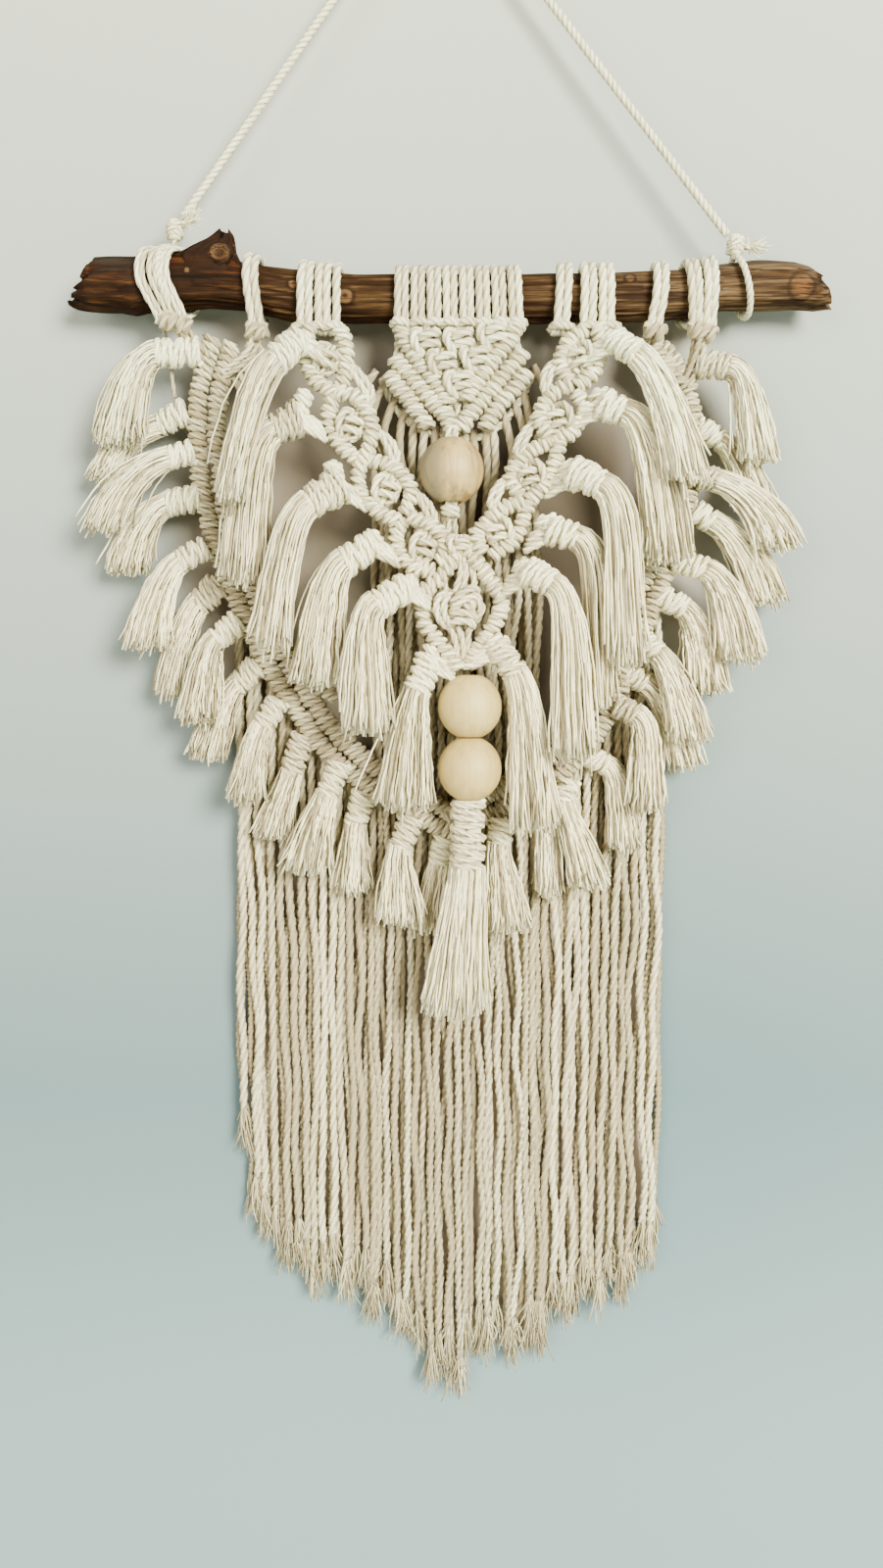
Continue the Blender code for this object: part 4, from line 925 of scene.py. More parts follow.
DIAMOND_STRANDS = (  # shares of the knot's half-width, depth and half-height
    ((-0.5, 0.2, 1.0), (-0.95, -0.8, 0.6), (-1.1, -1.1, -0.05), (-0.9, -0.9, -0.7),
     (-0.45, 0.2, -1.1)),
    ((-0.35, 0.2, 0.95), (-0.62, -0.95, 0.5), (-0.72, -1.2, -0.1), (-0.6, -0.95, -0.65),
     (-0.3, 0.2, -1.0)),
    ((-0.5, 0.1, 0.05), (-0.2, -0.9, 0.45), (0.3, -1.0, 0.9), (0.8, -0.5, 1.15), (1.1, 0.4, 1.0)),
    ((-0.5, 0.1, -0.25), (-0.15, -1.0, 0.08), (0.35, -1.05, 0.48), (0.85, -0.5, 0.7),
     (1.15, 0.4, 0.55)),
    ((-0.6, 0.1, -0.5), (-0.2, -0.85, -0.3), (0.3, -1.0, -0.25), (0.75, -0.7, -0.42),
     (0.85, 0.3, -0.6)),
    ((-0.6, 0.1, -0.95), (-0.15, -0.8, -0.75), (0.3, -0.9, -0.72), (0.7, -0.6, -0.85),
     (0.8, 0.3, -1.0)),
    ((0.7, 0.3, 0.75), (1.1, -0.3, 0.35), (1.2, -0.3, -0.1), (0.9, 0.3, -0.7)),
    ((-0.15, 0.3, 0.55), (0.2, -0.35, 0.3), (0.55, -0.45, 0.05), (0.95, 0.5, -0.3)),
    ((0.1, 0.3, 0.75), (0.5, -0.3, 0.5), (0.8, -0.3, 0.3), (1.0, 0.5, 0.05)),
)
DIAMOND_FILLERS = (
    ((8, -343), (12.5, -352), (9.5, -364)),
    ((12.5, -342), (15, -353), (13, -364)),
    ((5, -350), (4, -357), (6.5, -365)),
    ((17, -350), (19, -358), (17, -365)),
    ((6, -378), (9.5, -386), (11.5, -398)),
    ((10.5, -379), (13.5, -387), (14, -398)),
    ((17, -379), (16, -387), (16, -397)),
)
Loops = namedtuple("Loops", "tops feet cords")
FRONT_LOOPS = (
    Loops((-65.5, -45.5), (-68, -46), 5),
    Loops((61.0, 69.8), (57.0, 66.0), 2),
    Loops((71.0, 87.0), (70.0, 88.0), 4),
)

skins = []
for tops, (left, right), cords in FRONT_LOOPS:
    skins.append(loops_over_branch(tops, (left, right), cords, FRONT_HEADING_Z + 1, -20.0))
    pairs = cords // 2 + cords % 2
    skins += larks_heads(left - 1, right + 1, pairs, -24.5, FRONT_HEADING_Z, 2.2)
    heading = [(left, -21.5, FRONT_HEADING_Z), (right, -21.5, FRONT_HEADING_Z)]
    skins += hitch_row(heading, half_width=3.4, half_depth=3.2, pitch=3.0, cord=1.6)
for number, cell in enumerate(FRONT_CELLS):
    side = 1 if number < 4 else -1
    over = 0.7 if number % 2 else -0.7
    for border, y in ((cell.outer, FRONT_Y + over), (cell.inner, FRONT_Y - over)):
        path = at_depth(border, y)
        skins += hitch_row(path, FRONT_HALF, FRONT_DEEP, FRONT_PITCH, lean=0.3 * side)
    x, z = cell.knot
    skins += square_knot(x, FRONT_Y + 0.2, z, 12.5, 13.5, 4.0, -0.45 * side, side, 1.85)
    for inwards, lower in ((0.0, 0.0), (2.6, -1.0)) if cell.slack else ():
        path = np.array(at_depth(cell.slack, FRONT_Y))
        path[:, 1] += np.array([2.0, -1.0, -1.5, 1.5]) + rng.normal(0, 0.3)
        path[1:3, 0] -= inwards * side
        path[1:3, 2] += lower
        skins.append(rope_skin(curve_through(path, step=1.8), 1.9))
for number, bar in enumerate(DIAMOND):
    side = 1 if number < 2 else -1
    path = at_depth(bar, FRONT_Y + 0.4 * (number - 1.6))
    skins += hitch_row(path, half_width=4.3, half_depth=4.4, pitch=3.7, lean=0.3 * side)
skins += square_knot(11.0, FRONT_Y - 1.0, -341, 11.0, 9.0, 4.8, radius=1.7)
x, z = DIAMOND_KNOT
for strand in DIAMOND_STRANDS:
    skins.append(laid_strand(x, FRONT_Y, z, DIAMOND_KNOT_SIZE, strand, 0.0, 1, 2.1))
for filler in DIAMOND_FILLERS:
    path = np.array(at_depth(filler, FRONT_Y)) + np.array([0.0, 1.0, 0.0])
    path[1, 1] -= 1.6
    skins.append(rope_skin(curve_through(path, step=1.8), 1.8))
# The band's cords get a slight painted shade through their tone.
cotton_piece("front_band_knotted", skins, "front_band", [-0.1] * len(skins))

# --- Back band --------------------------------------------------------------
# A wider, deeper V: two hitched ridges side by side, carried by the outermost loops. Each group of
# loops is bound by a knot under the branch, and its cords run down together to the band.

BACK_Y = -7.0
RIDGE_HALF = 5.2
RIDGE_DEEP = 4.5
RIDGE_PITCH = 3.4
RIDGES_APART = 9.8
LEFT_RIDGE = (
    ((-110, -236), (-118, -262), (-119, -288), (-113, -330), (-96, -375))
    + ((-74, -416), (-48, -449), (-4, -478), (10, -484))
)
RIGHT_RIDGE = (
    ((107, -237), (122, -252), (129, -278), (127, -310), (119, -345))
    + ((102, -386), (86, -426), (63, -454), (30, -473), (8, -484))
)
SLACK_CORD = ((-137, -225), (-133.5, -238.5), (-131.5, -253), (-130, -265))
LOWER_BAR = ((-67, -401), (-59, -408.5), (-49, -415.5))
CHAINS = (((-88, -240), (-90, -250), (-99, -262)), ((107.5, -240), (115, -250), (122, -260)))
Bundle = namedtuple("Bundle", "tops feet cords bow x z half path radius")
BUNDLES = (
    Bundle(
        (-137, -119.5), (-138.5, -121.5), 6, -8.0, -127.5, -231.6, 7.5,
        ((-127, -16, -231), (-121, -13, -238), (-113, -8, -246)), 3.4,
    ),
    Bundle(
        (-92.5, -83.5), (-92, -83.5), 2, -1.5, -88, -236, 4.4,
        ((-88, -16, -233), (-92, -12, -245), (-107, -8, -256)), 3.2,
    ),
    Bundle(
        (106.5, 115), (103.5, 112), 2, 0.0, 107.5, -236, 4.2,
        ((108, -16, -233), (107, -12, -237), (108, -8, -242)), 3.2,
    ),
    Bundle(
        (120.5, 138), (124.5, 138), 4, 0.0, 131, -236, 6.0,
        ((131, -16, -233), (129, -12, -248), (125, -8, -260)), 3.6,
    ),
)


def beside(points, distance):
    """The path at a distance to the side of another, in the wall's plane."""
    points = np.asarray(points, float)
    tangent = unit(np.gradient(points, axis=0))
    return points + distance * np.stack([-tangent[:, 1], tangent[:, 0]], 1)


def coil(start, end, half_start, half_end, pitch, radius, flat=0.88):
    """Cord wound round a bundle: a helix whose half-width runs evenly from one end to the other,
    with turns that come a little unevenly and tilt one way and the other by sines."""
    start, end = np.asarray(start, float), np.asarray(end, float)
    length = np.linalg.norm(end - start)
    run = unit(end - start)
    across = unit(np.cross(run, (0.0, 1.0, 0.0)))
    forward = np.cross(across, run)
    turns = max(2.0, length / pitch)
    turn = np.linspace(0, 2 * math.pi * turns, int(14 * turns))[:, None]
    uneven = 0.09 * np.sin(turn * 0.83 + rng.uniform(0, 6.3))
    share = np.clip(turn / turn[-1] + uneven * pitch / length, 0, 1)
    half = (half_start + (half_end - half_start) * share) * (1 + 0.4 * uneven) - radius * 0.9
    tilt = 0.22 * half * np.sin(0.37 * turn + rng.uniform(0, 6.3)) * np.cos(turn)
    tilt = tilt * np.sin(math.pi * share) ** 0.5
    circle = half * (np.cos(turn) * across + flat * np.sin(turn) * forward)
    path = start + (end - start) * share + circle + tilt * run
    filled = np.linspace(half_start, half_end, 5) - radius * 1.3
    core = plain_skin(np.linspace(start, end, 5), filled, 10, flat)
    return [rope_skin(path, radius, pitch=21.0, groove=0.84), core]


def bundle_of_ropes(points, radius, count, cord, twist=1.2):
    """Ropes that run down side by side round one middle line, turning slowly about it."""
    middle = curve_through(points, step=2.2)
    one, two = carried_frames(middle[None])
    skins = []
    for phase in np.arange(count) * 2 * math.pi / count:
        angle = phase + np.linspace(0, twist, len(middle))[:, None]
        reach = radius - cord + rng.normal(0, 0.1)
        circle = reach * (np.cos(angle) * one[0] + np.sin(angle) * two[0])
        skins.append(rope_skin(middle + circle, cord))
    return skins


skins, loops = [], []
for bundle in BUNDLES:
    x, z, half = bundle.x, bundle.z, bundle.half
    tops, feet = bundle.tops, bundle.feet
    loops.append(loops_over_branch(tops, feet, bundle.cords, z + 3, -15.5, bundle.bow, 3.2))
    left, right = (x - half, -16.5, z + 0.25 * half), (x + half, -16.5, z - 0.25 * half)
    skins += coil(left, right, 4.9, 4.9, pitch=4.0, radius=2.1, flat=0.9)
    skins += bundle_of_ropes(bundle.path, bundle.radius + 0.8, count=4, cord=1.9)
skins.append(rope_skin(curve_through(at_depth(SLACK_CORD, -8.0), step=2), 1.1))
path = at_depth(LOWER_BAR, -12.0)
skins += hitch_row(path, half_width=4.2, half_depth=3.6, pitch=3.9, lean=0.3)
for chain in CHAINS:
    path = at_depth(chain, BACK_Y - 2.5)
    skins += hitch_row(path, half_width=4.4, half_depth=4.0, pitch=3.8, lean=0.2)
for side, ridge in ((1, LEFT_RIDGE), (-1, RIGHT_RIDGE)):
    inner = beside(ridge, RIDGES_APART * side)
    for points, y in ((ridge, BACK_Y), (inner, BACK_Y - 0.5)):
        path = at_depth(points, y)
        skins += hitch_row(path, RIDGE_HALF, RIDGE_DEEP, RIDGE_PITCH, lean=0.2 * side, lumps=0.08)
# The loops keep their tone; the ridges, coils and bundles below the branch get a strong painted
# shade.
shade_bias = [0.0] * len(loops) + [-0.8] * len(skins)
cotton_piece("back_band_knotted", loops + skins, "back_band", shade_bias)

# --- Curtain ----------------------------------------------------------------
# About ninety plain ropes hang behind everything, in two layers, cut to a shallow V. Each is tied
# behind the band that it leaves, strays a little on its way down, and its cut end has frayed.

HEM = (
    (-102, -659), (-97, -688), (-88, -706), (-71, -720), (-34, -742), (-17, -754), (1, -778),
    (11, -782), (21, -764), (41, -771), (51, -760), (72, -742), (94, -734), (112, -717),
    (118, -696),
)
Curtain = namedtuple("Curtain", "name strip y left right strands fan")
CURTAINS = (
    Curtain(
        "curtain_left",
        ((-103, -343), (-92, -376), (-71, -411), (-47, -443), (-36, -452)),
        4.5, -103, -34, 28, 0,
    ),
    Curtain(
        "curtain_right",
        ((115, -343), (100, -378), (84, -417), (62, -444), (52, -451)),
        4.5, 50, 117, 27, 0,
    ),
    Curtain(
        "centre_cords",
        ((-27, -258), (-17, -275), (0, -285), (22, -286), (38, -274), (48, -256)),
        -14.5, -29, 50, 34, 1.13,
    ),
)
LAYERS = (7.0, 3.0)
CURTAIN_STEPS = 122
FAN_MIDDLE = 10
LOWER_START = ((-31, -296), (-14, -325), (2, -345), (12, -350), (27, -337), (46, -300), (52, -290))


def strand_waves(at, seed, size):
    """Sideways straying along a rope: three sines of lengths that have no common measure."""
    draw = np.random.default_rng(seed)
    total = 0
    for length in (11.0, 27.0, 63.0):
        total = total + np.sin(at / length + draw.uniform(0, 6.3)) * draw.normal(0.6, 0.25)
    return size * total


def frayed_end(foot, radius, count):
    """The plies of a cut rope, come apart: yarns that leave its end in a small brush. Each drops
    evenly, leans away as the power 1.6 of the way down and curls by half a sine."""
    t = np.linspace(0, 1, 6)[None, :, None]
    angle, reach = rng.uniform(0, 6.3, (count, 1)), radius * np.sqrt(rng.random((count, 1)))
    root = np.concatenate([reach * np.cos(angle), reach * np.sin(angle), np.zeros_like(angle)], 1)
    lean = rng.normal(0, 1, (count, 3)) * np.array([2.8, 0.6, 1.2])
    drop = np.array([0, 0, -1.0]) * rng.uniform(10, 27, (count, 1))
    curl = rng.normal(0, 1, (count, 1, 3)) * np.array([0.9, 0.3, 0.9]) * np.sin(t * math.pi)
    splay = (lean + root * (0.7, 0.2, 0.7))[:, None] * t**1.6
    lines = (foot + root)[:, None] + drop[:, None] * t + splay + curl
    return plain_skin(lines, 0.55 * np.linspace(1, 0.6, 6), 3)


def curtain_path(curtain, number, x, strip):
    """A rope's centreline, straight down from the strip to the hem with waves added. It leaves
    the strip's depth for its layer's by an exponential. A fanned rope also goes outwards, and
    every other one starts lower and further forward."""
    top = np.interp(x, strip[:, 0], strip[:, 2]) + 4
    lower = bool(curtain.fan) and number % 2 == 1
    top = np.interp(x, *np.transpose(LOWER_START)) if lower else top
    x_foot = FAN_MIDDLE + (x - FAN_MIDDLE) * (curtain.fan or 1.0)
    foot = np.interp(x_foot, *np.transpose(HEM)) + rng.uniform(14, 28) + 5 * math.sin(x_foot / 2.4)
    layer = LAYERS[number % 2]
    down = np.linspace(0, 1, CURTAIN_STEPS)
    settle = 1 - np.exp(-down * (9 if curtain.fan else 40))
    at = down * (top - foot)
    start_y = curtain.y - 1.5 if curtain.fan else curtain.y + (layer - 5) * 0.8
    start_y = -22.0 if lower else start_y
    seed = number * 7 + int(curtain.left)
    sideways, forward = x + (x_foot - x) * down**0.8, start_y + (layer - start_y) * settle
    path = np.stack([sideways, forward, top - at], 1)
    path[:, 0] += strand_waves(at, 400 + seed, 1.3) * np.minimum(1, at / 20)
    path[:, 1] += strand_waves(at, 900 + seed, 0.45) * np.minimum(1, at / 20)
    if curtain.fan and not lower:
        outward = np.sign(x - FAN_MIDDLE) * abs((x - FAN_MIDDLE) / 38) ** 2
        bulge = (8.5 + rng.normal(0, 1.2)) * outward
        path[:, 0] += bulge * np.sin(math.pi * np.minimum(1, at / 34))
        path[:, 1] -= 2.5 * np.sin(math.pi * np.minimum(1, at / 26))
    return path


for curtain in CURTAINS:
    strip = curve_through(at_depth(curtain.strip, curtain.y), count=40)
    strip = strip[np.argsort(strip[:, 0])]
    places = np.linspace(curtain.left, curtain.right, curtain.strands)
    places = places + rng.normal(0, 0.5, curtain.strands)
    paths = [curtain_path(curtain, number, x, strip) for number, x in enumerate(places)]
    skins = [rope_skin(np.array(paths[0::2]), 2.3, pitch=17.0, groove=0.86)]
    skins.append(rope_skin(np.array(paths[1::2]), 2.3, pitch=22.0, groove=0.86))
    skins += [frayed_end(path[-1], 1.5, 22) for path in paths]
    skins.append(rope_skin(curve_through(at_depth(curtain.strip, curtain.y), step=2), 2.2))
    # Painted shade darkens both layers of ropes (the one nearer the wall most), their frayed ends
    # and, a little, the strip.
    shade_bias = [-1.3, -0.95] + [-1.2] * len(paths) + [-0.3]
    cotton_piece(f"{curtain.name}_ropes", skins, curtain.name, shade_bias, 1.4)

# --- Tassels ----------------------------------------------------------------
# A bundle of cord ends leaves the band, is wrapped for a finger's width and is combed out below
# it. The yarns keep the wrapping's slope for a short way, then hang, crimped by their old twist.

# The wrapping goes from the root to the neck, `wide` at each, and the fringe from there to the
# tip, where it is twice `spread` wide. A front tassel's stem leaves the band at `stem`.
Tassel = namedtuple("Tassel", "name level root neck wide tip spread stem", defaults=(None,))
FRONT_TASSEL_Y = {"near": -44.5, "far": -34.6}
BACK_TASSEL_Y = {"near": -14.7, "far": -5.2}
FRONT_TASSELS = (
    Tassel("l1", "near", (-64, -246), (-75, -258), (11.5, 11), (-96, -320), 7, (-61, -243)),
    Tassel("l2", "far", (-65, -281), (-77, -287), (15, 10.5), (-93, -358), 12, (-62, -268)),
    Tassel("l3", "near", (-46, -314), (-60, -324), (15, 11), (-77, -389), 9, (-49, -302)),
    Tassel("l4", "far", (-30, -341), (-44, -350), (11.5, 11.5), (-57, -407), 13, (-29, -335)),
    Tassel("l5", "near", (-14, -362), (-28, -371), (12, 11), (-32, -430), 12.5, (-10, -358)),
    Tassel("l6", "far", (-3, -396), (-9, -412), (11, 10.5), (-15, -468), 15, (-1, -391)),
    Tassel("r1", "near", (84, -246), (95, -255), (10.5, 9.5), (119, -311), 9.5, (80, -243)),
    Tassel("r2", "far", (80, -275), (91, -279), (14, 9.5), (112, -348), 13, (77, -268)),
    Tassel("r3", "near", (66, -308), (79, -315), (14, 10), (91, -397), 9.5, (62, -303)),
    Tassel("r4", "far", (56, -334), (68, -338), (13, 9.5), (80, -417), 8.5, (51, -328)),
    Tassel("r5", "near", (45, -355), (56, -361), (13, 9.5), (67, -442), 12, (40, -350)),
    Tassel("r6", "far", (30, -390), (39, -403), (11, 10), (48, -479), 12.5, (27, -386)),
)
BACK_TASSELS = (
    Tassel("l1", "near", (-118, -244), (-137, -246), (13, 11.5), (-157, -289), 12.5),
    Tassel("l2", "far", (-126, -272), (-138, -278), (13, 10), (-167, -305), 9),
    Tassel("l3", "near", (-122, -293), (-132, -296), (11.5, 9.5), (-164, -331), 11.5),
    Tassel("l4", "far", (-118, -314), (-135, -317), (13, 11), (-156, -351), 12.5),
    Tassel("l5", "near", (-116, -340), (-127, -347), (11, 10), (-145, -389), 11),
    Tassel("l6", "far", (-110, -358), (-120, -367), (14, 11), (-136, -412), 9),
    Tassel("l7", "near", (-100, -377), (-110, -386), (12, 10), (-120, -426), 10),
    Tassel("l8", "far", (-91, -399), (-101, -408), (12, 10), (-116, -445), 10),
    Tassel("l9", "near", (-80, -417), (-87, -429), (11, 10), (-96, -466), 9),
    Tassel("l10", "far", (-68, -435), (-74, -453), (12, 10), (-84, -486), 10),
    Tassel("l11", "near", (-49, -449), (-55, -464), (11, 10), (-66, -502), 12),
    Tassel("l12", "far", (-37, -464), (-41, -479), (11.5, 10), (-43, -514), 10),
    Tassel("l13", "near", (-13, -477), (-18, -491), (12, 10), (-17, -529), 12),
    Tassel("l14", "far", (4, -486), (2, -499), (10, 9), (-4, -533), 8),
    Tassel("r1", "near", (131, -250), (145, -252), (13, 10.5), (160, -297), 11.5),
    Tassel("r2", "far", (133, -280), (144, -286), (11, 9), (161, -320), 9),
    Tassel("r3", "near", (129, -304), (139, -307), (11.5, 9.5), (171, -340), 12),
    Tassel("r4", "far", (130, -321), (140, -326), (12, 10), (167, -366), 12.5),
    Tassel("r5", "near", (121, -346), (135, -351), (11.5, 10), (154, -395), 12.5),
    Tassel("r6", "far", (114, -363), (127, -370), (12, 10), (140, -411), 11),
    Tassel("r7", "near", (106, -387), (112, -393), (11, 9), (129, -436), 10),
    Tassel("r8", "far", (97, -402), (107, -407), (11, 10), (127, -449), 10),
    Tassel("r9", "near", (92, -419), (101, -423), (11, 10), (107, -470), 9),
    Tassel("r10", "far", (78, -444), (88, -449), (11, 9), (97, -491), 9.5),
    Tassel("r11", "near", (67, -458), (65, -467), (12, 10), (78, -509), 11),
    Tassel("r12", "far", (54, -463), (57, -472), (10, 9), (59, -515), 7.5),
    Tassel("r13", "near", (34, -478), (32, -489), (12, 10), (36, -532), 11),
)
FULLNESS = {"front": 1.32, "back": 1.2}  # a wrapping's width over the one in its row
FRINGE_STEPS = 11
CLUMPS = 12
WRAP_PITCH = 3.0
YARN = 0.6


def combed_yarns(neck, heading, half_wide, half_deep, tip, spread, depth, count):
    """Each yarn is a cubic from its own place in the bundle, along the wrapping's slope and down
    to its own place in the fringe's foot. The yarns that go furthest out keep the slope longest.
    A crimp of two sines is shared by each clump."""
    neck, tip = np.asarray(neck, float), np.asarray(tip, float)
    across = unit(np.array([-heading[2], 0, heading[0]]))
    across = across * (1 if across[0] > 0 else -1)
    forward, up = np.array([0, 1.0, 0]), np.array([0, 0, 1.0])
    angle, reach = rng.uniform(0, 2 * math.pi, count), rng.random(count) ** 0.42
    u, w = (reach * np.cos(angle))[:, None], (reach * np.sin(angle))[:, None]
    start = neck + u * half_wide * across + w * half_deep * forward
    length = np.linalg.norm(tip - neck)
    stray = rng.normal(0, 1, (count, 3)) * np.where(rng.random((count, 1)) < 0.08, 2.8, 1.0)
    out = 0.92 * u + 0.13 * stray[:, :1]
    foot = tip + out * spread * np.array([1.0, 0, 0])
    foot = foot + (0.85 * w + 0.18 * stray[:, 1:2]) * depth * forward
    foot = foot + up * length * (0.03 * stray[:, 2:] + 0.05 * out**2)
    reach_out = (0.19 + 0.12 * out * heading[0]) * length * (0.4 + 0.6 * abs(heading[0]))
    lead = unit(heading + rng.normal(0, 0.05, (count, 3))) * reach_out
    straight = 0.35 + 0.6 * (1 - abs(heading[0]))
    back_up = unit(up + straight * (unit(start - foot) - up))
    drop = back_up * length * rng.uniform(0.45, 0.6, (count, 1))
    t = np.linspace(0, 1, FRINGE_STEPS)[None, :, None]
    parts = (1 - t) ** 3, 3 * (1 - t) ** 2 * t, 3 * (1 - t) * t**2, t**3
    line = sum(p * c[:, None] for p, c in zip(parts, (start, start + lead, foot + drop, foot)))
    clump = rng.integers(0, CLUMPS, count)
    phase, wave = rng.uniform(0, 6.3, (CLUMPS, 2))[clump], rng.uniform(9.0, 15.0, CLUMPS)[clump]
    swing = t[..., 0] * length / wave[:, None]
    size = np.minimum(1, t[..., 0] * 2) * rng.uniform(0.15, 0.55, (count, 1))
    line[..., 0] += size * np.sin(2 * math.pi * swing + phase[:, :1])
    line[..., 1] += size * np.sin(2 * math.pi * swing + phase[:, 1:])
    line += 1.3 * rng.normal(0, 1, (count, 1, 3)) * np.array([1.0, 0.6, 0.8]) * t**9
    return plain_skin(line, YARN, 3)


def make_tassel(prefix, row, levels, band_y):
    """A tassel from its row: a coil from the root to the neck, a fringe from the neck to the tip
    and a plug that fills the fringe's top. A front tassel also has a hitched stem from its seat
    on the band, and four cords that come in from the band below it."""
    level = levels[row.level]
    root = np.array([row.root[0], band_y + (level - band_y) * 0.6, row.root[1]])
    neck = np.array([row.neck[0], level, row.neck[1]])
    heading = unit(neck - root)
    half_root, half_neck = (wide / 2 * FULLNESS[prefix] for wide in row.wide)
    half_neck = half_neck * 1.08
    skins = coil(root - heading * 1.5, neck, half_root, half_neck, WRAP_PITCH, 1.75)
    if row.stem:
        side = -1 if row.neck[0] < row.root[0] else 1
        seat = np.array([row.stem[0], band_y - 1.5, row.stem[1]])
        halfway = (seat + root) / 2 + np.array([side * 0.5, -1.0, 0])
        stem = [seat, halfway, root + heading]
        skins += hitch_row(stem, half_width=4.9, half_depth=4.3, pitch=3.5, lean=0.25)
        low = np.array([root[0] - side * 11.5, band_y - 0.5, root[2] - 6.5])
        for shift in (-3.6, -1.2, 1.2, 3.6):
            aside = np.array([0.35 * shift * side, -0.5, shift])
            halfway = (low + root) / 2 + aside + np.array([0, -1.5, -0.5])
            arm = [low + aside, halfway, root + heading * 3 + aside * 0.7]
            skins.append(rope_skin(curve_through(arm, step=1.8), 1.9))
    wide, deep = half_neck - YARN, half_neck * 0.88 - YARN
    tip = (row.tip[0], level, row.tip[1])
    yarns = combed_yarns(neck - heading, heading, wide, deep, tip, row.spread, depth=4.8, count=165)
    filling = np.linspace(neck - heading * 2, neck + heading * 2.5, 4)
    skins += [yarns, plain_skin(filling, np.array([1, 0.95, 0.8, 0.5]) * (half_neck - 1.8), 8)]
    node = f"{prefix}_tassel_{row.name}"
    # Painted shade darkens the coil, stem and side cords a little, the fringe's yarns much more,
    # and the plug in the fringe's top a little.
    cotton_piece(f"{node}_combed", skins, node, [-0.2] * (len(skins) - 2) + [-0.95, -0.3], 2.6)


for row in FRONT_TASSELS:
    make_tassel("front", row, FRONT_TASSEL_Y, FRONT_Y)
for row in BACK_TASSELS:
    make_tassel("back", row, BACK_TASSEL_Y, BACK_Y)

x, y, z = BEAD_LOWER
head_top, head_foot = z - BEAD_HALF_HEIGHT - 0.3, -499.0
skins = coil((x - 1, y, head_top), (x - 1, y, head_foot), 8.9, 9.2, pitch=3.3, radius=1.9)
neck, down, tip = (x - 1, y, head_foot + 1), np.array([0, 0, -1.0]), (10, y, -571)
skins.append(combed_yarns(neck, down, 9.0, 7.0, tip, spread=17, depth=7.5, count=320))
# Painted light brightens the wrapping's cord; painted shade darkens its core and the fringe a
# little.
cotton_piece("main_tassel_combed", skins, "main_tassel", [0.2, -0.2, -0.2], 2.0)

# --- Wall, floor and light --------------------------------------------------
# A matt plastered wall just behind the hanging, a floor far below, and soft light from the right.

WALL_Y = 0.0125
FLOOR_Z = -1.25
# The wall's paint, with shade and light painted on it: its colour at the top and lower down, a
# paler foot, warm shadows behind the bands and warm light behind the curtain.
PAINT_AND_SHADE = ((0.368, 0.371, 0.302), (0.084, 0.139, 0.139))
PAINT_AND_SHADE_AT_FOOT = (0.255, 0.335, 0.32)
SHADOW_AND_BOUNCE = ((0.088, 0.066, 0.04), (0.185, 0.15, 0.098))
SHADOW_AND_BOUNCE_AT_TOP = (0.25, 0.222, 0.165)
SHADOW_AND_BOUNCE_AT_RIGHT = (0.33, 0.30, 0.235)
BOUNCE_LIGHT_BEHIND_CURTAIN = (0.62, 0.50, 0.36)
# Ellipses of painted shadow, warmed by bounced light, on the wall behind the bands.
ShadowPatch = namedtuple("ShadowPatch", "drop flat edge")  # how far down, how flat and how wide each way
SHADOW_PATCHES = (ShadowPatch(0.310, 0.80, 0.166), ShadowPatch(0.430, 0.4, 0.114))


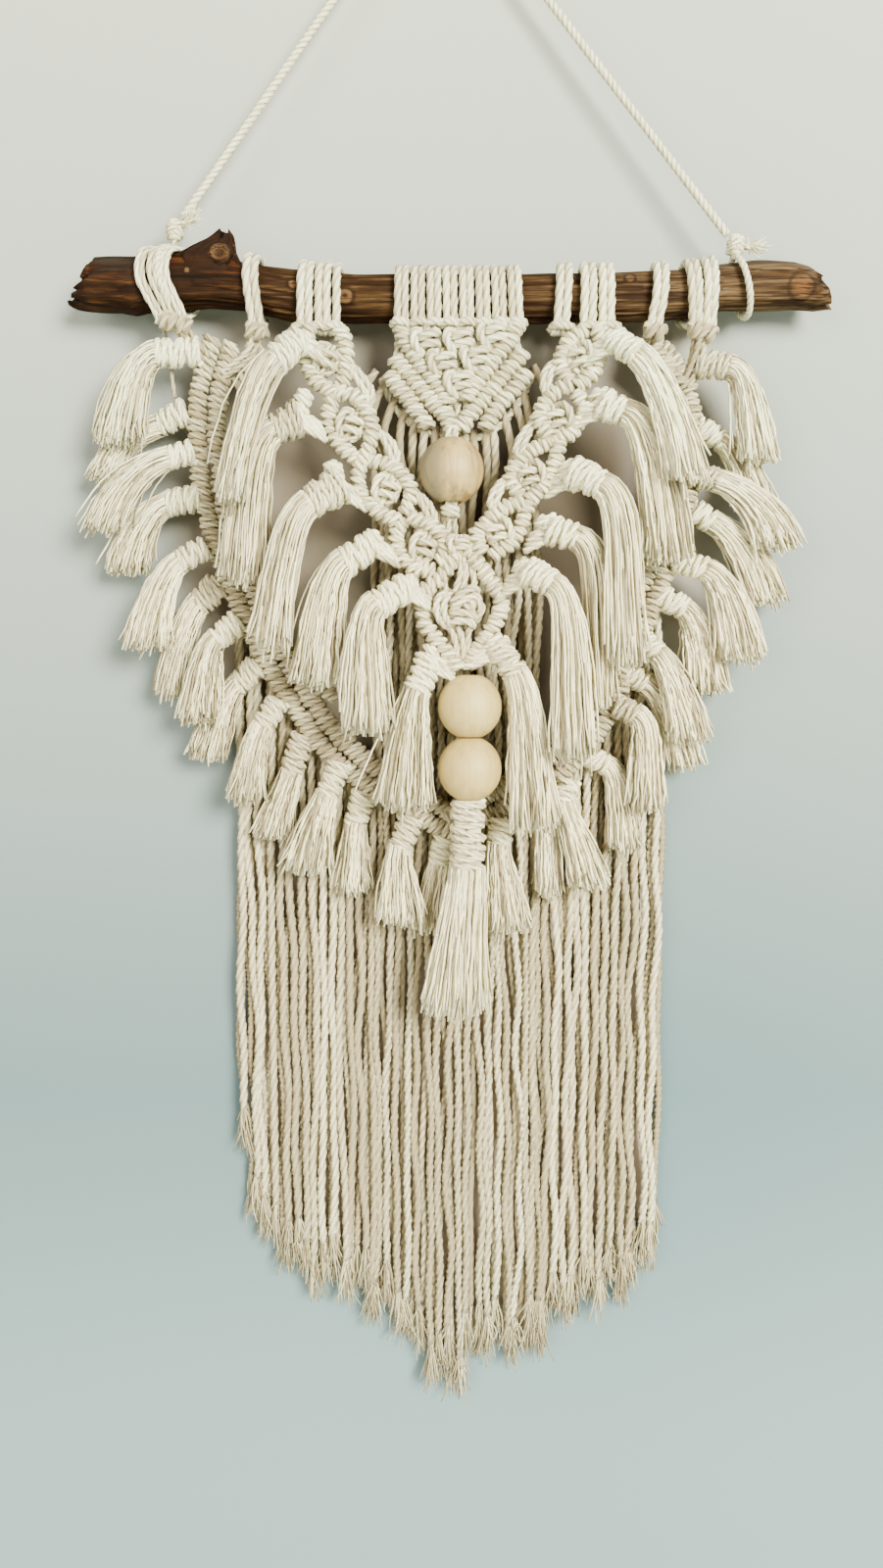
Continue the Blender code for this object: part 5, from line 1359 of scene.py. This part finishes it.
def wall_finish():
    """Plaster with painted shade and light: it darkens down the wall and a little near the middle,
    and lightens again towards the floor. Two ellipses behind the bands are painted with the
    hanging's shadow and the dim warm light that cotton throws into it, and a wedge behind the
    curtain that narrows to the hem is painted with warm light. Every share is a straight or
    smooth climb over a height or a distance. The wall is clear from behind."""
    material, shade, shader = new_finish("wall", 0.9)
    place = shade.node("ShaderNodeTexCoord", {}, "Object")
    x, height = place.axis(0), place.axis(2)
    middle = abs(x - 0.09).ramp(0.0, 0.16, 1.0, 0.0)
    # Painted shade: the plaster darkens down the wall and a little near the middle, then lightens
    # towards the floor.
    paint_and_shade = shade.mix(height.ramp(-0.05, -0.62) * 0.92 + middle * 0.07, *PAINT_AND_SHADE)
    paint_and_shade = shade.mix(height.ease(-0.55, -0.85) * 0.5, paint_and_shade, PAINT_AND_SHADE_AT_FOOT)
    # Painted shadow warmed by light bounced off the cotton, lighter near the branch and at the
    # right.
    shadow_and_bounce = shade.mix(x.ramp(0.04, -0.10), *SHADOW_AND_BOUNCE)
    shadow_and_bounce = shade.mix(height.ease(-0.29, -0.215) * 0.75, shadow_and_bounce, SHADOW_AND_BOUNCE_AT_TOP)
    shadow_and_bounce = shade.mix(x.ease(0.09, 0.12) * 0.8, shadow_and_bounce, SHADOW_AND_BOUNCE_AT_RIGHT)
    below_branch = height.ease(-0.203, -0.218)
    # Each ellipse paints that warm shadow on the wall behind the bands, below the branch.
    for shadow_patch in SHADOW_PATCHES:
        moved = (-0.009, 0.0, shadow_patch.drop * shadow_patch.flat)
        away = place.mapped(Location=moved, Scale=(1.0, 0.0, shadow_patch.flat)).distance((0, 0, 0))
        paint_and_shade = shade.mix(away.ease(shadow_patch.edge, shadow_patch.edge * 0.76) * below_branch, paint_and_shade, shadow_and_bounce)
    # Painted warm light in a wedge behind the curtain, narrowing to the hem.
    half_width = height.ramp(-0.745, -0.685, 0.022, 0.109)
    within = (abs(x - 0.007) - half_width).ease(0.0, -0.006)
    curtain = within * height.ease(-0.765, -0.745) * height.ease(-0.46, -0.50)
    feed(shader, Base_Color=shade.mix(curtain, paint_and_shade, BOUNCE_LIGHT_BEHIND_CURTAIN))
    behind = shade.node("ShaderNodeNewGeometry", {}, "Backfacing")
    clear = shade.node("ShaderNodeBsdfTransparent", {})
    surface = Shade(shade.tree, shader.outputs[0])
    mixed = shade.node("ShaderNodeMixShader", {0: behind, 1: surface, 2: clear})
    feed(shade.tree.nodes["Material Output"], Surface=mixed)
    return material


def stage_plane(name, corners, material):
    """A flat sheet between four corners, apart from the hanging."""
    mesh = bpy.data.meshes.new(name)
    mesh.from_pydata(corners, [], [(0, 1, 2, 3)])
    mesh.materials.append(material)
    plane = bpy.data.objects.new(name, mesh)
    bpy.context.scene.collection.objects.link(plane)


wall_corners = [(-3, WALL_Y, FLOOR_Z), (3, WALL_Y, FLOOR_Z), (3, WALL_Y, 2), (-3, WALL_Y, 2)]
stage_plane("wall", wall_corners, wall_finish())
floor_corners = [(-3, -3, FLOOR_Z), (3, -3, FLOOR_Z), (3, 3, FLOOR_Z), (-3, 3, FLOOR_Z)]
floor_material, _, floor_shader = new_finish("floor", 0.9)
floor_shader.inputs["Base Color"].default_value = (0.4275, 0.4625, 0.44, 1)
stage_plane("floor", floor_corners, floor_material)


def soft_light(name, place, aim, width, power, colour):
    """A round area light at a place, its back turned straight away from the aim."""
    lamp = bpy.data.lights.new(name, "AREA")
    lamp.shape = "DISK"
    lamp.size = width
    lamp.energy = power
    lamp.color = colour
    light = bpy.data.objects.new(name, lamp)
    light.location = place
    back = unit(np.array(place, float) - aim)
    right = unit(np.cross((0.0, 0.0, 1.0), back))
    turn = np.eye(4)
    turn[:3, :3] = np.stack([right, np.cross(back, right), back], 1)
    turn[:3, 3] = place
    light.matrix_world = Matrix(turn)
    bpy.context.scene.collection.objects.link(light)


soft_light("key", (1.35, -2.4, 0.25), (0, 0, -0.40), 1.25, 370, (0.965, 0.985, 0.93))
soft_light("fill", (-1.5, -2.3, 0.0), (0, 0, -0.45), 2.0, 90, (1.0, 0.975, 0.92))
soft_light("behind", (0.2, 1.8, 0.3), (0, 0, -0.40), 1.8, 40, (1.0, 1.0, 1.0))

world = bpy.data.worlds.new("room")
world.use_nodes = True
world.node_tree.nodes["Background"].inputs["Color"].default_value = (0.96, 0.93, 0.85, 1)
world.node_tree.nodes["Background"].inputs["Strength"].default_value = 0.47
bpy.context.scene.world = world
